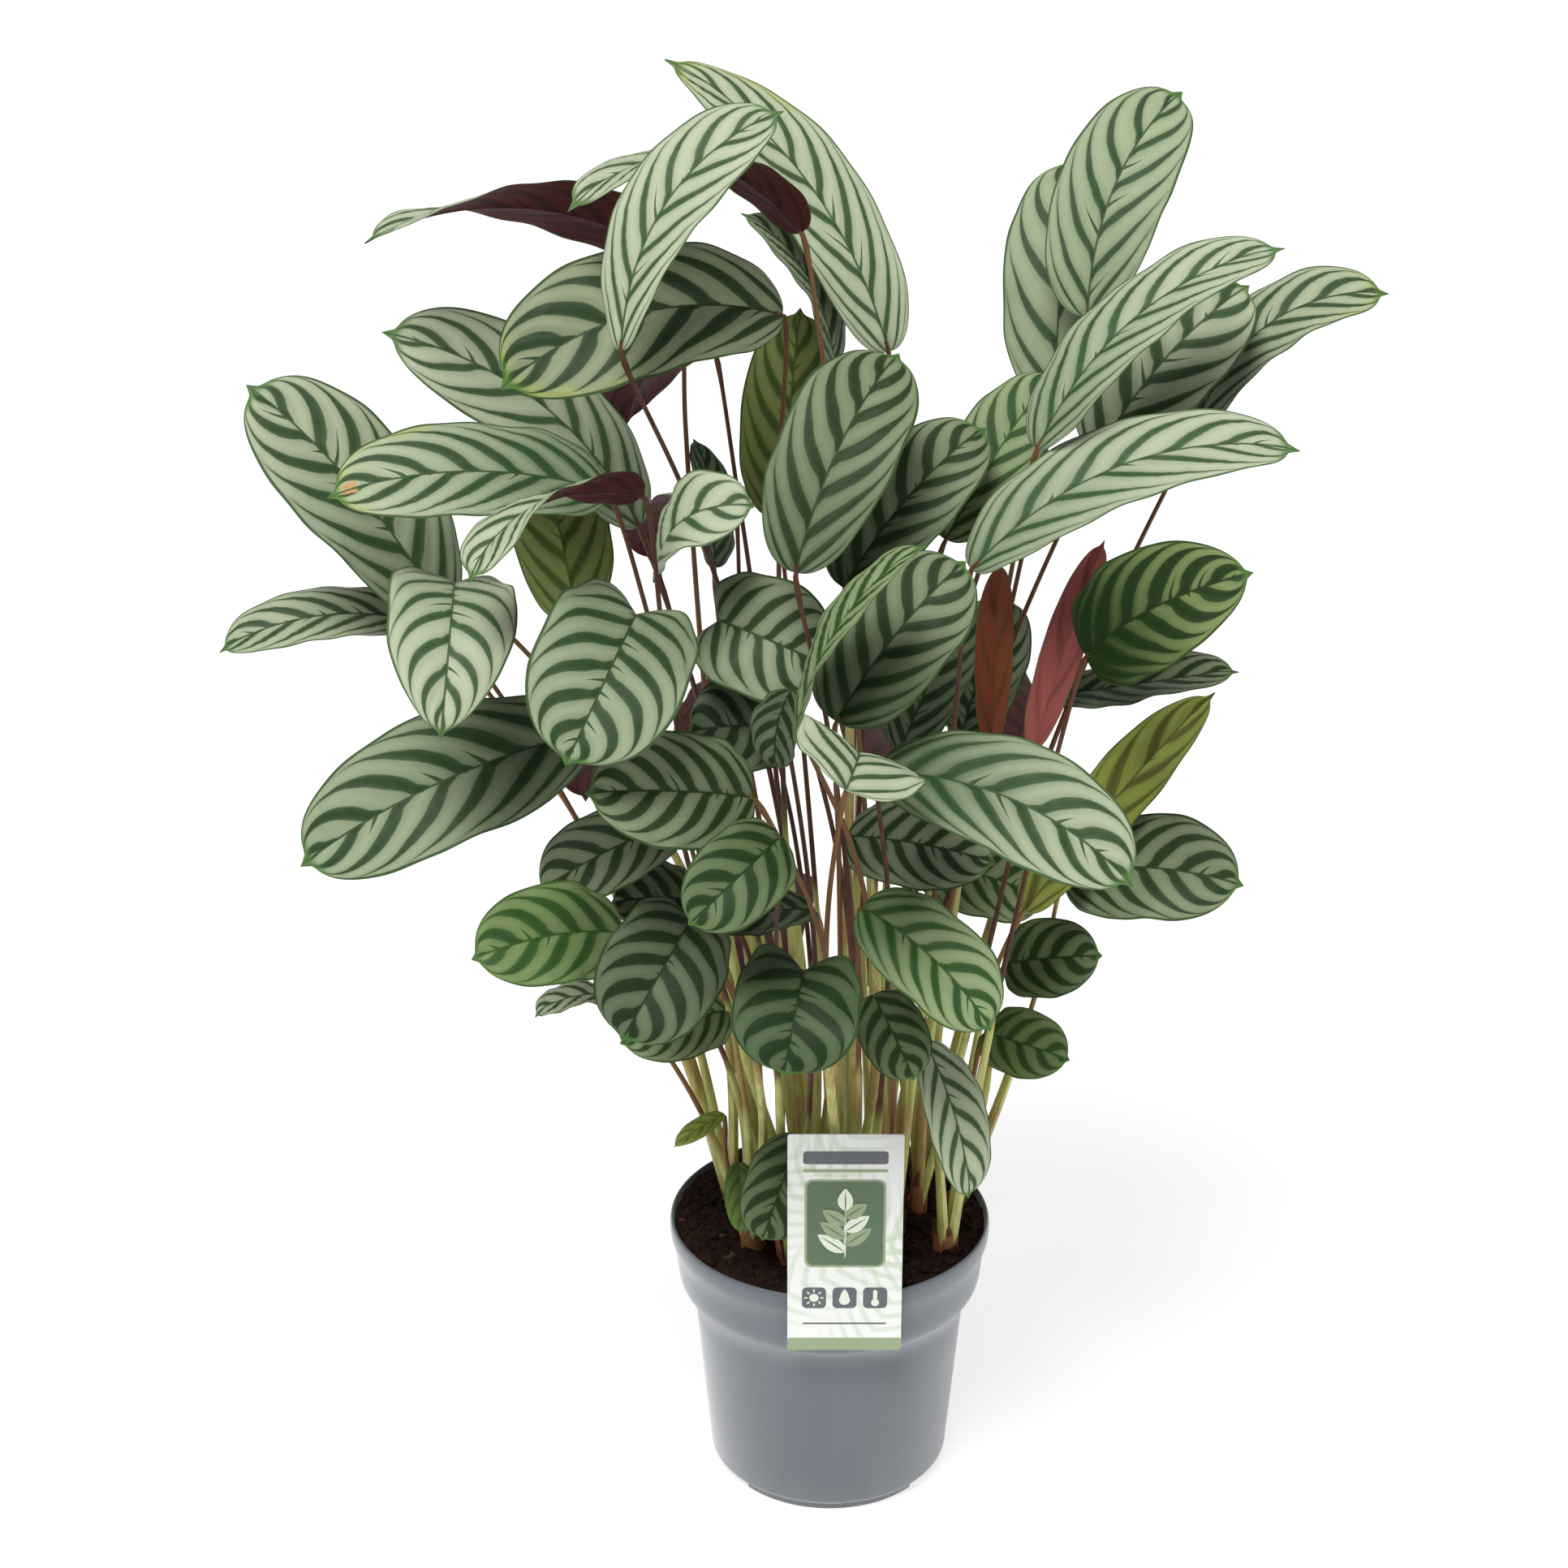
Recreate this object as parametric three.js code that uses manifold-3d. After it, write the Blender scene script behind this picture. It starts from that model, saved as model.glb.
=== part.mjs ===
// A potted prayer plant: long petioles rise in shoots from peat in a nursery pot, each with one blade, and a
// plain care card hangs on the pot's rim. Millimetres, +Z up, origin under the middle of the pot's base.
import * as THREE from "three";
import { mergeVertices } from "three/addons/utils/BufferGeometryUtils.js";
import Module from "manifold-3d";

const wasm = await Module();
wasm.setup();

// Pot: its outer wall from foot to lip and its rolled lip from outside to inside, as [radius, height]
const WALL_OUTLINE = [
  [79, 8],
  [88.8, 120],
  [93, 130.5],
  [99.2, 137.5],
  [101.2, 159],
];
const LIP_OUTLINE = [
  [104.6, 170],
  [105, 176],
  [104.5, 180],
  [103.4, 181],
  [102.4, 180.2],
  [101.8, 175],
];
const POT_HEIGHT = 181;
const RIM_RADIUS = 105;
const WALL = 1.8;
const BASE_RADIUS = 73.5;
const FOOT_HEIGHT = 4;
const FOOT_RING = [68.5, 73];
const FOOT_SINK = 1.5;
const FOOT_SECTORS = 3;
const FOOT_GAP = 33;
const FLOOR_TOP = 7;
const DRAIN_HOLES = 6;
const DRAIN_RADIUS = 6;
const DRAIN_RING = 55;
const DRAIN_SIDES = 8;
const PAD_RADIUS = 16;
const POT_SIDES = 32;

// Peat
const GAP = 0.3;
const PEAT_EDGE = 174;
const PEAT_CROWN = 180;
const PEAT_RINGS = [0.85, 0.45];
const PEAT_LUMP = 1.3;
const HOLE_DEPTH = 30;

// Care card
const CARD_WIDTH = 71;
const CARD_HEIGHT = 153;
const CARD_BOTTOM = 144;
const CARD_THICKNESS = 0.9;
const CARD_MIDDLE_X = 7.6;
const HOOK_WIDTH = 20;
const HOOK_DEPTH = 22;
const HOOK_GAP = 8.6;

// Leaves
const BLADE_THICKNESS = 0.9;
const FOLD = 0.34;
const CURL = 0.22;
const WAVE = 0.06;
const TIP_SHARE = 0.965;
const NARROW_BLADE = 56;
const ROW_WIDTH = 12;
const PETIOLE_FOOT_RADIUS = 3.4;
const PETIOLE_TOP_RADIUS = 1.7;
const PETIOLE_SIDES = 4;
const PETIOLE_SEGMENT = 100;
const PETIOLE_START = 3;
const FOOT_SPREAD = 3.6;
const LEAN_SHARE = 0.3;
const RISE_SHARE = 0.55;
const TAPER_SHARE = 0.74;
const SIDEWAYS = new THREE.Vector3(0.31, 0.95, 0);
const JOINT_SHARE = 0.03;
const CROWN_RADIUS = 8;
const CROWN_SIDES = 6;
const CROWN_RISE = 10;

// How petioles are led: clear of blades and of each other by these, in mm, with a bow of one of the reaches
const CLEAR_OF_BLADES = 8;
const CLEAR_OF_PETIOLES = 8.5;
const CROWD_HEIGHT = 60;
const SPOT_ROWS = 20;
const BOW_REACHES = [12, 24, 36, 48, 60, 72];
const BOW_DIRECTIONS = 12;
const PATH_STEP = 6;

// The eye that the leaves are laid out for: each leaf's base and tip are given as seen by it, in units of a
// square picture 1932 across, and the third number is how far behind the pot's axis the point lies, in mm.
const EYE = new THREE.Vector3(-30, -1550, 1097);
const EYE_TILT = THREE.MathUtils.degToRad(21.6);
const EYE_FOCAL = 3330;
const PICTURE_MIDDLE = 966;

function seenAt([across, down, depth]) {
  const right = (across - PICTURE_MIDDLE) / EYE_FOCAL;
  const up = (PICTURE_MIDDLE - down) / EYE_FOCAL;
  const ray = new THREE.Vector3(
    right,
    Math.cos(EYE_TILT) + up * Math.sin(EYE_TILT),
    -Math.sin(EYE_TILT) + up * Math.cos(EYE_TILT),
  );
  return EYE.clone().addScaledVector(ray, (depth - EYE.y) / ray.y);
}

// Each shoot stands at root, x and y in mm. Of each leaf, width, arch and bend are in mm, roll and twist in
// degrees:
// - width: across the blade at its widest
// - roll: how far the upper face is turned from the eye towards the sky, or with sky, from the sky
// - twist: how much the roll grows from base to tip
// - arch: how far the middle rises over the ends, and bend: how far the midrib bows sideways
// - lobe: how far the two halves are drawn back past the base, as on a heart, in half widths
const SHOOTS = {
  left_front: {
    root: [-50, -36],
    leaves: {
      young_left: {
        base: [768, 1150, -125], tip: [581, 1182, -180], width: 62,
        roll: 12, arch: 8, bend: 4,
      },
      dark_left: { base: [850, 1135, -150], tip: [765, 1284, -205], width: 72, lobe: 0.5, arch: 12 },
      edge_left: { base: [762, 1228, -60], tip: [657, 1250, -80], width: 36, roll: 62, arch: 6 },
      light_low: { base: [910, 1432, -62], tip: [918, 1521, -80], width: 22, arch: 3 },
      pale_low: { base: [892, 1372, -40], tip: [830, 1412, -62], width: 16, roll: 20, arch: 2 },
      crescent_left: { base: [895, 1245, -95], tip: [764, 1285, -140], width: 50, roll: 15, arch: 6 },
    },
  },
  left: {
    root: [-63, 22],
    leaves: {
      large_left: {
        base: [722, 903, -60], tip: [368, 1068, -110], width: 84,
        roll: 15, arch: 14, bend: 6,
      },
      far_left: { base: [548, 758, -20], tip: [303, 472, -5], width: 84, roll: 18, arch: 12, bend: 5 },
      low_far_left: {
        base: [530, 770, 20], tip: [268, 802, -10], width: 45,
        roll: 42, arch: 8, bend: 8,
      },
      shade_left: { base: [860, 1110, -40], tip: [752, 1112, -60], width: 50, roll: 20, arch: 6 },
    },
  },
  left_back: {
    root: [-42, 50],
    leaves: {
      olive_left: { base: [712, 765, 60], tip: [655, 500, 95], width: 66, roll: 172, arch: 6 },
      shadow_left: {
        base: [787, 648, 55], tip: [470, 408, 20], width: 72,
        roll: 20, arch: 8, bend: 20,
      },
      arch_left: {
        base: [835, 318, 40], tip: [447, 296, -5], width: 62,
        roll: 112, twist: -75, arch: 26,
      },
    },
  },
  left_middle: {
    root: [-32, -8],
    leaves: {
      heart_left: { base: [560, 718, -95], tip: [543, 912, -180], width: 76, lobe: 1.1, arch: 22 },
      flat_left: {
        base: [748, 606, -60], tip: [401, 612, -105], width: 66,
        roll: 34, arch: 8, bend: 8,
      },
      curled_left: {
        base: [792, 610, -130], tip: [575, 716, -185], width: 52,
        roll: 82, twist: -62, arch: 14, bend: 6,
      },
      under_left: { base: [835, 1012, -62], tip: [662, 1100, -95], width: 54, roll: 22, arch: 8 },
    },
  },
  front_left: {
    root: [-26, -52],
    leaves: {
      round_front: { base: [990, 1196, -180], tip: [965, 1327, -225], width: 74, lobe: 1, arch: 10 },
      tipped_front: { base: [962, 1030, -185], tip: [847, 1141, -230], width: 52, arch: 10 },
      broad_front: { base: [928, 983, -150], tip: [720, 977, -195], width: 70, roll: 14, arch: 10 },
      low_front: { base: [985, 1398, -84], tip: [938, 1531, -93], width: 48, arch: 2 },
    },
  },
  centre_left: {
    root: [-12, -30],
    leaves: {
      shield: { base: [784, 756, -140], tip: [696, 944, -215], width: 88, lobe: 1, arch: 16 },
      round_centre: {
        base: [885, 764, -70], tip: [1018, 820, -85], width: 74,
        lobe: 0.7, roll: 4, arch: 10,
      },
      folded_over: {
        base: [812, 708, -72], tip: [932, 622, -96], width: 54,
        roll: 50, twist: -30, arch: 14, bend: 6,
      },
      shade_centre: { base: [965, 900, -65], tip: [846, 902, -90], width: 62, roll: 22, arch: 8 },
    },
  },
  centre: {
    root: [-6, 4],
    leaves: {
      front_high: {
        base: [765, 432, -90], tip: [966, 134, -40], width: 60,
        roll: 30, arch: 8, bend: 20,
      },
      broad_high: {
        base: [965, 388, 0], tip: [615, 480, -55], width: 88,
        roll: 24, arch: 10, bend: 17,
      },
      arch_high: {
        base: [988, 287, -5], tip: [697, 258, -45], width: 60,
        roll: 92, twist: -42, arch: 34,
      },
      folded_up: { base: [880, 700, -20], tip: [858, 539, 10], width: 44, roll: 55, arch: 4 },
    },
  },
  front_right: {
    root: [16, -64],
    leaves: {
      front_slant: {
        base: [1062, 1118, -150], tip: [1223, 1271, -190], width: 58,
        roll: 15, arch: 10, bend: 4,
      },
      front_shade: { base: [1076, 1225, -115], tip: [1127, 1332, -150], width: 42, roll: 5, arch: 6 },
      front_large: {
        base: [1084, 952, -135], tip: [1398, 1093, -190], width: 74,
        roll: 20, arch: 10, bend: 13,
      },
      end_on: {
        base: [1042, 974, -246], tip: [1052, 932, -160], width: 80,
        roll: -26, arch: 10, sky: true,
      },
    },
  },
  centre_front: {
    root: [8, -34],
    leaves: {
      centre_low: {
        base: [1030, 889, -145], tip: [1191, 689, -95], width: 70,
        roll: 10, arch: 8, bend: 3,
      },
      pale_edge: {
        base: [983, 890, -165], tip: [1140, 668, -170], width: 46,
        roll: 70, arch: 6, bend: 6,
      },
      centre_high: {
        base: [980, 706, -120], tip: [1109, 432, -30], width: 74,
        roll: 10, arch: 10, bend: 6,
      },
      dark_front: { base: [1005, 1122, -68], tip: [877, 1148, -92], width: 46, roll: 52, arch: 6 },
      hanging_centre: { base: [975, 850, -112], tip: [957, 949, -124], width: 38, roll: 40, arch: 6 },
    },
  },
  centre_back: {
    root: [6, 36],
    leaves: {
      crest: {
        base: [1095, 434, 60], tip: [820, 69, 95], width: 60,
        roll: 30, twist: 50, arch: 8, bend: 18,
      },
      olive_centre: { base: [960, 640, 60], tip: [986, 378, 85], width: 62, roll: 178, arch: 6 },
      narrow_high: {
        base: [1028, 456, 60], tip: [915, 259, 75], width: 50,
        roll: 66, arch: 6, bend: 8,
      },
    },
  },
  right_front: {
    root: [74, -37],
    leaves: {
      hanging_right: { base: [1140, 1284, -95], tip: [1196, 1478, -130], width: 46, roll: 35, arch: 8 },
      dark_right: {
        base: [1338, 808, -60], tip: [1544, 705, -115], width: 76,
        roll: 12, arch: 10, bend: 5,
      },
      small_low_right: { base: [1212, 1272, 0], tip: [1318, 1306, -35], width: 46, roll: 8, arch: 5 },
    },
  },
  right_inner: {
    root: [40, -22],
    leaves: {
      level_right: {
        base: [1197, 702, -70], tip: [1604, 553, -45], width: 62,
        roll: 38, arch: 10, bend: 20,
      },
      behind_centre: {
        base: [1040, 725, -60], tip: [1216, 524, 0], width: 64,
        roll: 20, arch: 8, bend: 4,
      },
      shade_right: { base: [1110, 925, -35], tip: [1200, 735, 5], width: 50, roll: 20, arch: 6 },
      dark_centre: { base: [1045, 1030, -45], tip: [1228, 1063, -85], width: 62, roll: 20, arch: 8 },
    },
  },
  right: {
    root: [56, 8],
    leaves: {
      long_right: {
        base: [1278, 553, -35], tip: [1584, 302, 5], width: 58,
        roll: 46, arch: 10, bend: 15,
      },
      rust_spear: { base: [1222, 916, -62], tip: [1232, 690, -48], width: 24, roll: 165, arch: 3 },
      pink_spear: { base: [1272, 922, -60], tip: [1360, 664, -25], width: 27, roll: 162, arch: 4 },
      grey_right: {
        base: [1290, 858, 5], tip: [1526, 824, -30], width: 54,
        roll: 60, arch: 6, bend: -6,
      },
    },
  },
  right_back: {
    root: [34, 34],
    leaves: {
      high_right: {
        base: [1340, 391, 45], tip: [1458, 110, 130], width: 72,
        roll: 10, arch: 8, bend: 14,
      },
      high_behind: { base: [1300, 500, 60], tip: [1318, 191, 150], width: 72, roll: 10, arch: 8 },
      shadow_right: {
        base: [1352, 560, 25], tip: [1541, 349, 80], width: 74,
        roll: 14, arch: 8, bend: 6,
      },
      under_long: { base: [1165, 665, -10], tip: [1300, 455, 45], width: 56, roll: 20, arch: 6 },
    },
  },
  right_outer: {
    root: [82, 14],
    leaves: {
      olive_right: { base: [1262, 1122, -50], tip: [1496, 851, -5], width: 47, roll: 150, arch: 6 },
      low_right: {
        base: [1312, 1078, 10], tip: [1533, 1091, -45], width: 72,
        roll: 14, arch: 10, bend: 5,
      },
      small_right: { base: [1237, 1187, 20], tip: [1358, 1177, -15], width: 53, roll: 8, arch: 6 },
    },
  },
  right_far: {
    root: [62, 52],
    leaves: {
      far_right: {
        base: [1470, 535, 75], tip: [1713, 359, 95], width: 60,
        roll: 40, arch: 8, bend: 22,
      },
      gap_right: { base: [1185, 905, 20], tip: [1240, 733, 65], width: 58, roll: 10, arch: 6 },
      inner_right: { base: [1130, 1060, 45], tip: [1290, 1108, 40], width: 62, roll: 20, arch: 8 },
    },
  },
  back: {
    root: [-8, 74],
    leaves: {
      back_high: { base: [880, 432, 100], tip: [770, 520, 215], width: 68, arch: 20, sky: true },
      back_middle: { base: [930, 830, 115], tip: [880, 990, 235], width: 72, arch: 22, sky: true },
      back_low: { base: [970, 1080, 110], tip: [935, 1235, 200], width: 64, arch: 16, sky: true },
    },
  },
  back_right: {
    root: [30, 76],
    leaves: {
      back_right_high: { base: [1120, 570, 95], tip: [1235, 650, 215], width: 66, arch: 18, sky: true },
      back_right_middle: {
        base: [1060, 880, 125], tip: [1120, 1030, 250], width: 74,
        arch: 22, sky: true,
      },
      back_right_low: {
        base: [1075, 1110, 105], tip: [1100, 1245, 195], width: 60,
        arch: 14, sky: true,
      },
      back_right_side: {
        base: [1180, 800, 100], tip: [1245, 930, 220], width: 60,
        arch: 16, sky: true,
      },
    },
  },
  back_left: {
    root: [-46, 76],
    leaves: {
      back_left_high: { base: [905, 620, 105], tip: [800, 690, 230], width: 70, arch: 20, sky: true },
      back_left_side: { base: [800, 880, 90], tip: [720, 985, 205], width: 66, arch: 18, sky: true },
    },
  },
};

const COLOURS = {
  pot: { color: 0x7d8590, roughness: 0.45, metalness: 0 },
  peat: { color: 0x2b1b14, roughness: 1, metalness: 0 },
  card: { color: 0xe9efe2, roughness: 0.4, metalness: 0 },
  leaf: { color: 0x4f6b55, roughness: 0.5, metalness: 0 },
};

// Solids and meshes

function solidOf(geometry) {
  geometry.deleteAttribute("normal");
  geometry.deleteAttribute("uv");
  const merged = mergeVertices(geometry, 1e-3);
  const corners = merged.index.array;
  const kept = [];
  for (let i = 0; i < corners.length; i += 3) {
    const [a, b, c] = corners.subarray(i, i + 3);
    if (a !== b && b !== c && c !== a) kept.push(a, b, c);
  }
  return new wasm.Manifold(
    new wasm.Mesh({
      numProp: 3,
      vertProperties: new Float32Array(merged.attributes.position.array),
      triVerts: new Uint32Array(kept),
    }),
  );
}

function meshOf(name, solid, look) {
  const { vertProperties, triVerts } = solid.getMesh();
  const geometry = new THREE.BufferGeometry();
  geometry.setAttribute("position", new THREE.BufferAttribute(vertProperties, 3));
  geometry.setIndex(new THREE.BufferAttribute(triVerts, 1));
  geometry.computeVertexNormals();
  const mesh = new THREE.Mesh(geometry, new THREE.MeshStandardMaterial(look));
  mesh.name = name;
  return mesh;
}

function box(low, high) {
  const size = high.clone().sub(low);
  const geometry = new THREE.BoxGeometry(size.x, size.y, size.z);
  geometry.translate(...low.clone().add(high).multiplyScalar(0.5).toArray());
  return solidOf(geometry);
}

// An upright round bar, or a slightly tapered one
function bar(x, y, low, high, radiusLow, radiusHigh, sides) {
  const geometry = new THREE.CylinderGeometry(radiusHigh, radiusLow, high - low, sides);
  geometry.rotateX(Math.PI / 2);
  geometry.translate(x, y, (low + high) / 2);
  return solidOf(geometry);
}

// A profile of [radius, height] pairs, from the axis round to the axis or closed on itself, turned about Z
function turned(profile, sides) {
  const points = profile.map(([radius, height]) => new THREE.Vector2(radius, height));
  const geometry = new THREE.LatheGeometry(points, sides);
  geometry.rotateX(Math.PI / 2);
  return geometry;
}

// Pot

function wallInset(inset) {
  return WALL_OUTLINE.map(([radius, height]) => [radius - inset, height]);
}

// A ring under the floor, broken by gaps that let water out
function footRing() {
  const [inner, outer] = FOOT_RING;
  const top = FOOT_HEIGHT + FOOT_SINK;
  const section = [[inner, 0], [outer, 0], [outer + FOOT_SINK, top], [inner, top], [inner, 0]];
  let ring = solidOf(turned(section, POT_SIDES));
  for (let i = 0; i < FOOT_SECTORS; i += 1) {
    const cut = new THREE.BoxGeometry(inner / 2, FOOT_GAP, 2 * top);
    cut.translate(outer, 0, 0);
    cut.rotateZ((2 * Math.PI * i) / FOOT_SECTORS + Math.PI / 2);
    ring = ring.subtract(solidOf(cut));
  }
  return ring;
}

function pot() {
  const profile = [
    [0, FOOT_HEIGHT],
    [BASE_RADIUS, FOOT_HEIGHT],
    ...WALL_OUTLINE,
    ...LIP_OUTLINE,
    ...wallInset(WALL).reverse(),
    [BASE_RADIUS, FLOOR_TOP],
    [0, FLOOR_TOP],
  ];
  const pad = bar(0, 0, 0, FOOT_HEIGHT + 1, PAD_RADIUS, PAD_RADIUS + 1, POT_SIDES / 2);
  let made = solidOf(turned(profile, POT_SIDES)).add(footRing()).add(pad);
  for (let i = 0; i < DRAIN_HOLES; i += 1) {
    const angle = (2 * Math.PI * (i + 0.5)) / DRAIN_HOLES;
    const x = DRAIN_RING * Math.cos(angle);
    const y = DRAIN_RING * Math.sin(angle);
    made = made.subtract(bar(x, y, 1, FLOOR_TOP + 1, DRAIN_RADIUS, DRAIN_RADIUS, DRAIN_SIDES));
  }
  return made;
}

// Peat

const PEAT_RADIUS = WALL_OUTLINE.at(-1)[0] - WALL - GAP;

// The height of the peat's loose top surface
function peatTop(x, y) {
  const reach = Math.min(1, Math.hypot(x, y) / PEAT_RADIUS);
  const lumps = Math.sin(x * 0.11 + 1) * Math.cos(y * 0.13) + 0.7 * Math.sin(x * 0.23 - y * 0.19);
  return PEAT_EDGE + (PEAT_CROWN - PEAT_EDGE) * (1 - reach * reach) + PEAT_LUMP * lumps * (1 - reach ** 6);
}

function peat() {
  const geometry = turned(
    [
      [0, FLOOR_TOP + GAP],
      [BASE_RADIUS - GAP, FLOOR_TOP + GAP],
      ...wallInset(WALL + GAP),
      [PEAT_RADIUS, PEAT_EDGE],
      ...PEAT_RINGS.map((share) => [PEAT_RADIUS * share, PEAT_EDGE]),
      [0, PEAT_EDGE],
    ],
    POT_SIDES,
  );
  const place = geometry.attributes.position;
  for (let i = 0; i < place.count; i += 1) {
    const isTop = place.getZ(i) > PEAT_EDGE - GAP;
    if (isTop) place.setZ(i, peatTop(place.getX(i), place.getY(i)));
  }
  let made = solidOf(geometry);
  for (const { root } of Object.values(SHOOTS)) {
    const [x, y] = root;
    const bottom = peatTop(x, y) - HOLE_DEPTH;
    const radius = CROWN_RADIUS + GAP;
    made = made.subtract(bar(x, y, bottom - GAP, POT_HEIGHT + HOLE_DEPTH, radius, radius, CROWN_SIDES));
  }
  return made.subtract(cardSlot());
}

// Care card: a stiff card in front of the rim, hooked over it by a tongue that runs down inside the wall

const CARD_BACK = -(RIM_RADIUS + GAP);
const HOOK_FRONT = CARD_BACK + HOOK_GAP;

function cardSlot() {
  const half = HOOK_WIDTH / 2 + GAP;
  const low = new THREE.Vector3(CARD_MIDDLE_X - half, -RIM_RADIUS, POT_HEIGHT - HOOK_DEPTH - GAP);
  const high = new THREE.Vector3(CARD_MIDDLE_X + half, HOOK_FRONT + CARD_THICKNESS + GAP, POT_HEIGHT);
  return box(low, high);
}

function card() {
  const left = CARD_MIDDLE_X - CARD_WIDTH / 2;
  const right = CARD_MIDDLE_X + CARD_WIDTH / 2;
  const front = CARD_BACK - CARD_THICKNESS;
  const hookLeft = CARD_MIDDLE_X - HOOK_WIDTH / 2;
  const hookRight = CARD_MIDDLE_X + HOOK_WIDTH / 2;
  const bridge = POT_HEIGHT + GAP;
  const hookBack = HOOK_FRONT + CARD_THICKNESS;
  const face = box(
    new THREE.Vector3(left, front, CARD_BOTTOM),
    new THREE.Vector3(right, CARD_BACK, CARD_BOTTOM + CARD_HEIGHT),
  );
  const over = box(
    new THREE.Vector3(hookLeft, front, bridge),
    new THREE.Vector3(hookRight, hookBack, bridge + CARD_THICKNESS),
  );
  const tongue = box(
    new THREE.Vector3(hookLeft, HOOK_FRONT, POT_HEIGHT - HOOK_DEPTH),
    new THREE.Vector3(hookRight, hookBack, bridge + CARD_THICKNESS),
  );
  return face.add(over).add(tongue);
}

// Leaves

// The blade's half width at a share t of its length, as a share of its greatest: round base, sharp drip tip
function outline(t) {
  const body = t < TIP_SHARE ? Math.sqrt(1 - Math.abs(2 * (t / TIP_SHARE) ** 0.87 - 1) ** 2.6) : 0;
  return t < 0.8 ? body : Math.max(body, 1.6 * (1 - t));
}

// The blade's directions and the points of its surface, worked out from where its base and tip are
function bladeForm(leaf) {
  const { width, roll = 0, twist = 0, arch = 0, bend = 0, lobe = 0, sky = false } = leaf;
  const base = seenAt(leaf.base);
  const tip = seenAt(leaf.tip);
  const chord = tip.clone().sub(base);
  const along = chord.clone().normalize();
  const reference = sky ? new THREE.Vector3(0, 0, 1) : EYE.clone().sub(base).normalize();
  const facing = reference.addScaledVector(along, -reference.dot(along)).normalize();
  const upwards = along.x < 0 ? 1 : -1;
  const rising = along.clone().cross(facing).multiplyScalar(upwards);
  const turnedBy = (degrees, from, to) => {
    const angle = THREE.MathUtils.degToRad(degrees);
    return from.clone().multiplyScalar(Math.cos(angle)).addScaledVector(to, Math.sin(angle));
  };
  const bow = turnedBy(roll, facing, rising).multiplyScalar(arch).addScaledVector(rising, bend);
  const midrib = (t) => base.clone().addScaledVector(chord, t).addScaledVector(bow, 4 * t * (1 - t));
  const phase = leaf.base[0] * 0.37 + leaf.base[1] * 0.11;

  // The surface at a share t of the length and s from -1 to 1 across, lifted by height along its normal
  const surface = (t, s, height) => {
    const heading = chord.clone().addScaledVector(bow, 4 - 8 * t).normalize();
    const rolled = turnedBy(roll + twist * (t - 0.5), facing, rising);
    const normal = rolled.addScaledVector(heading, -rolled.dot(heading)).normalize();
    const side = heading.clone().cross(normal);
    const half = outline(t) * (width / 2);
    const wave = WAVE * Math.sin(10 * t + phase + (s > 0 ? 1.7 : 0)) * s * s;
    const rise = half * (FOLD * Math.abs(s) - CURL * s * s + wave);
    const drawnBack = lobe * half * s * s * (1 - t) ** 3;
    return midrib(t)
      .addScaledVector(side, s * half)
      .addScaledVector(heading, -drawnBack)
      .addScaledVector(normal, rise + height);
  };
  return { base, midrib, surface };
}

// A thin closed blade, its two faces split alike and each running to a point at both ends
function blade(form, width) {
  const columns = width > NARROW_BLADE ? 4 : 2;
  const rows = Math.max(4, Math.round(width / ROW_WIDTH));
  const place = [];
  const faces = [];
  const at = (face, row, column) => (face * (rows + 1) + row) * (columns + 1) + column;
  for (const height of [BLADE_THICKNESS / 2, -BLADE_THICKNESS / 2]) {
    for (let row = 0; row <= rows; row += 1) {
      const t = (1 - Math.cos((Math.PI * row) / rows)) / 2;
      for (let column = 0; column <= columns; column += 1) {
        place.push(...form.surface(t, (2 * column) / columns - 1, height).toArray());
      }
    }
  }
  const quad = (a, b, c, d) => faces.push(a, b, c, a, c, d);
  for (let row = 0; row < rows; row += 1) {
    for (let column = 0; column < columns; column += 1) {
      quad(at(0, row, column), at(0, row, column + 1), at(0, row + 1, column + 1), at(0, row + 1, column));
      faces.push(at(1, row, column), at(1, row + 1, column + 1), at(1, row, column + 1));
      faces.push(at(1, row, column), at(1, row + 1, column), at(1, row + 1, column + 1));
    }
    quad(at(0, row, 0), at(0, row + 1, 0), at(1, row + 1, 0), at(1, row, 0));
    quad(at(0, row, columns), at(1, row, columns), at(1, row + 1, columns), at(0, row + 1, columns));
  }
  const geometry = new THREE.BufferGeometry();
  geometry.setAttribute("position", new THREE.Float32BufferAttribute(place, 3));
  geometry.setIndex(faces);
  return solidOf(geometry);
}

// The petiole's centreline: steep out of the crown, leaning out towards the blade, then just into its base
function petiolePath([rootX, rootY], form, [bowX, bowY]) {
  const start = new THREE.Vector3(rootX, rootY, peatTop(rootX, rootY) + PETIOLE_START);
  const reach = form.base.clone().sub(start);
  const outward = new THREE.Vector3(reach.x, reach.y, 0).setLength(FOOT_SPREAD);
  const foot = start.add(outward);
  const control = new THREE.Vector3(bowX, bowY, 0)
    .add(foot)
    .add(new THREE.Vector3(LEAN_SHARE * reach.x, LEAN_SHARE * reach.y, RISE_SHARE * reach.z));
  const rise = new THREE.QuadraticBezierCurve3(foot, control, form.base);
  const steps = Math.max(3, Math.round(reach.length() / PETIOLE_SEGMENT));
  const points = [...rise.getPoints(steps), form.midrib(JOINT_SHARE)];
  return new THREE.CatmullRomCurve3(points, false, "centripetal");
}

// How far the nearest of the points comes inside the wanted distance of the place, or 0
function crowding(places, points, wanted) {
  let nearest = wanted * wanted;
  for (const place of places) {
    for (const point of points) nearest = Math.min(nearest, place.distanceToSquared(point));
  }
  return wanted - Math.sqrt(nearest);
}

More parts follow.
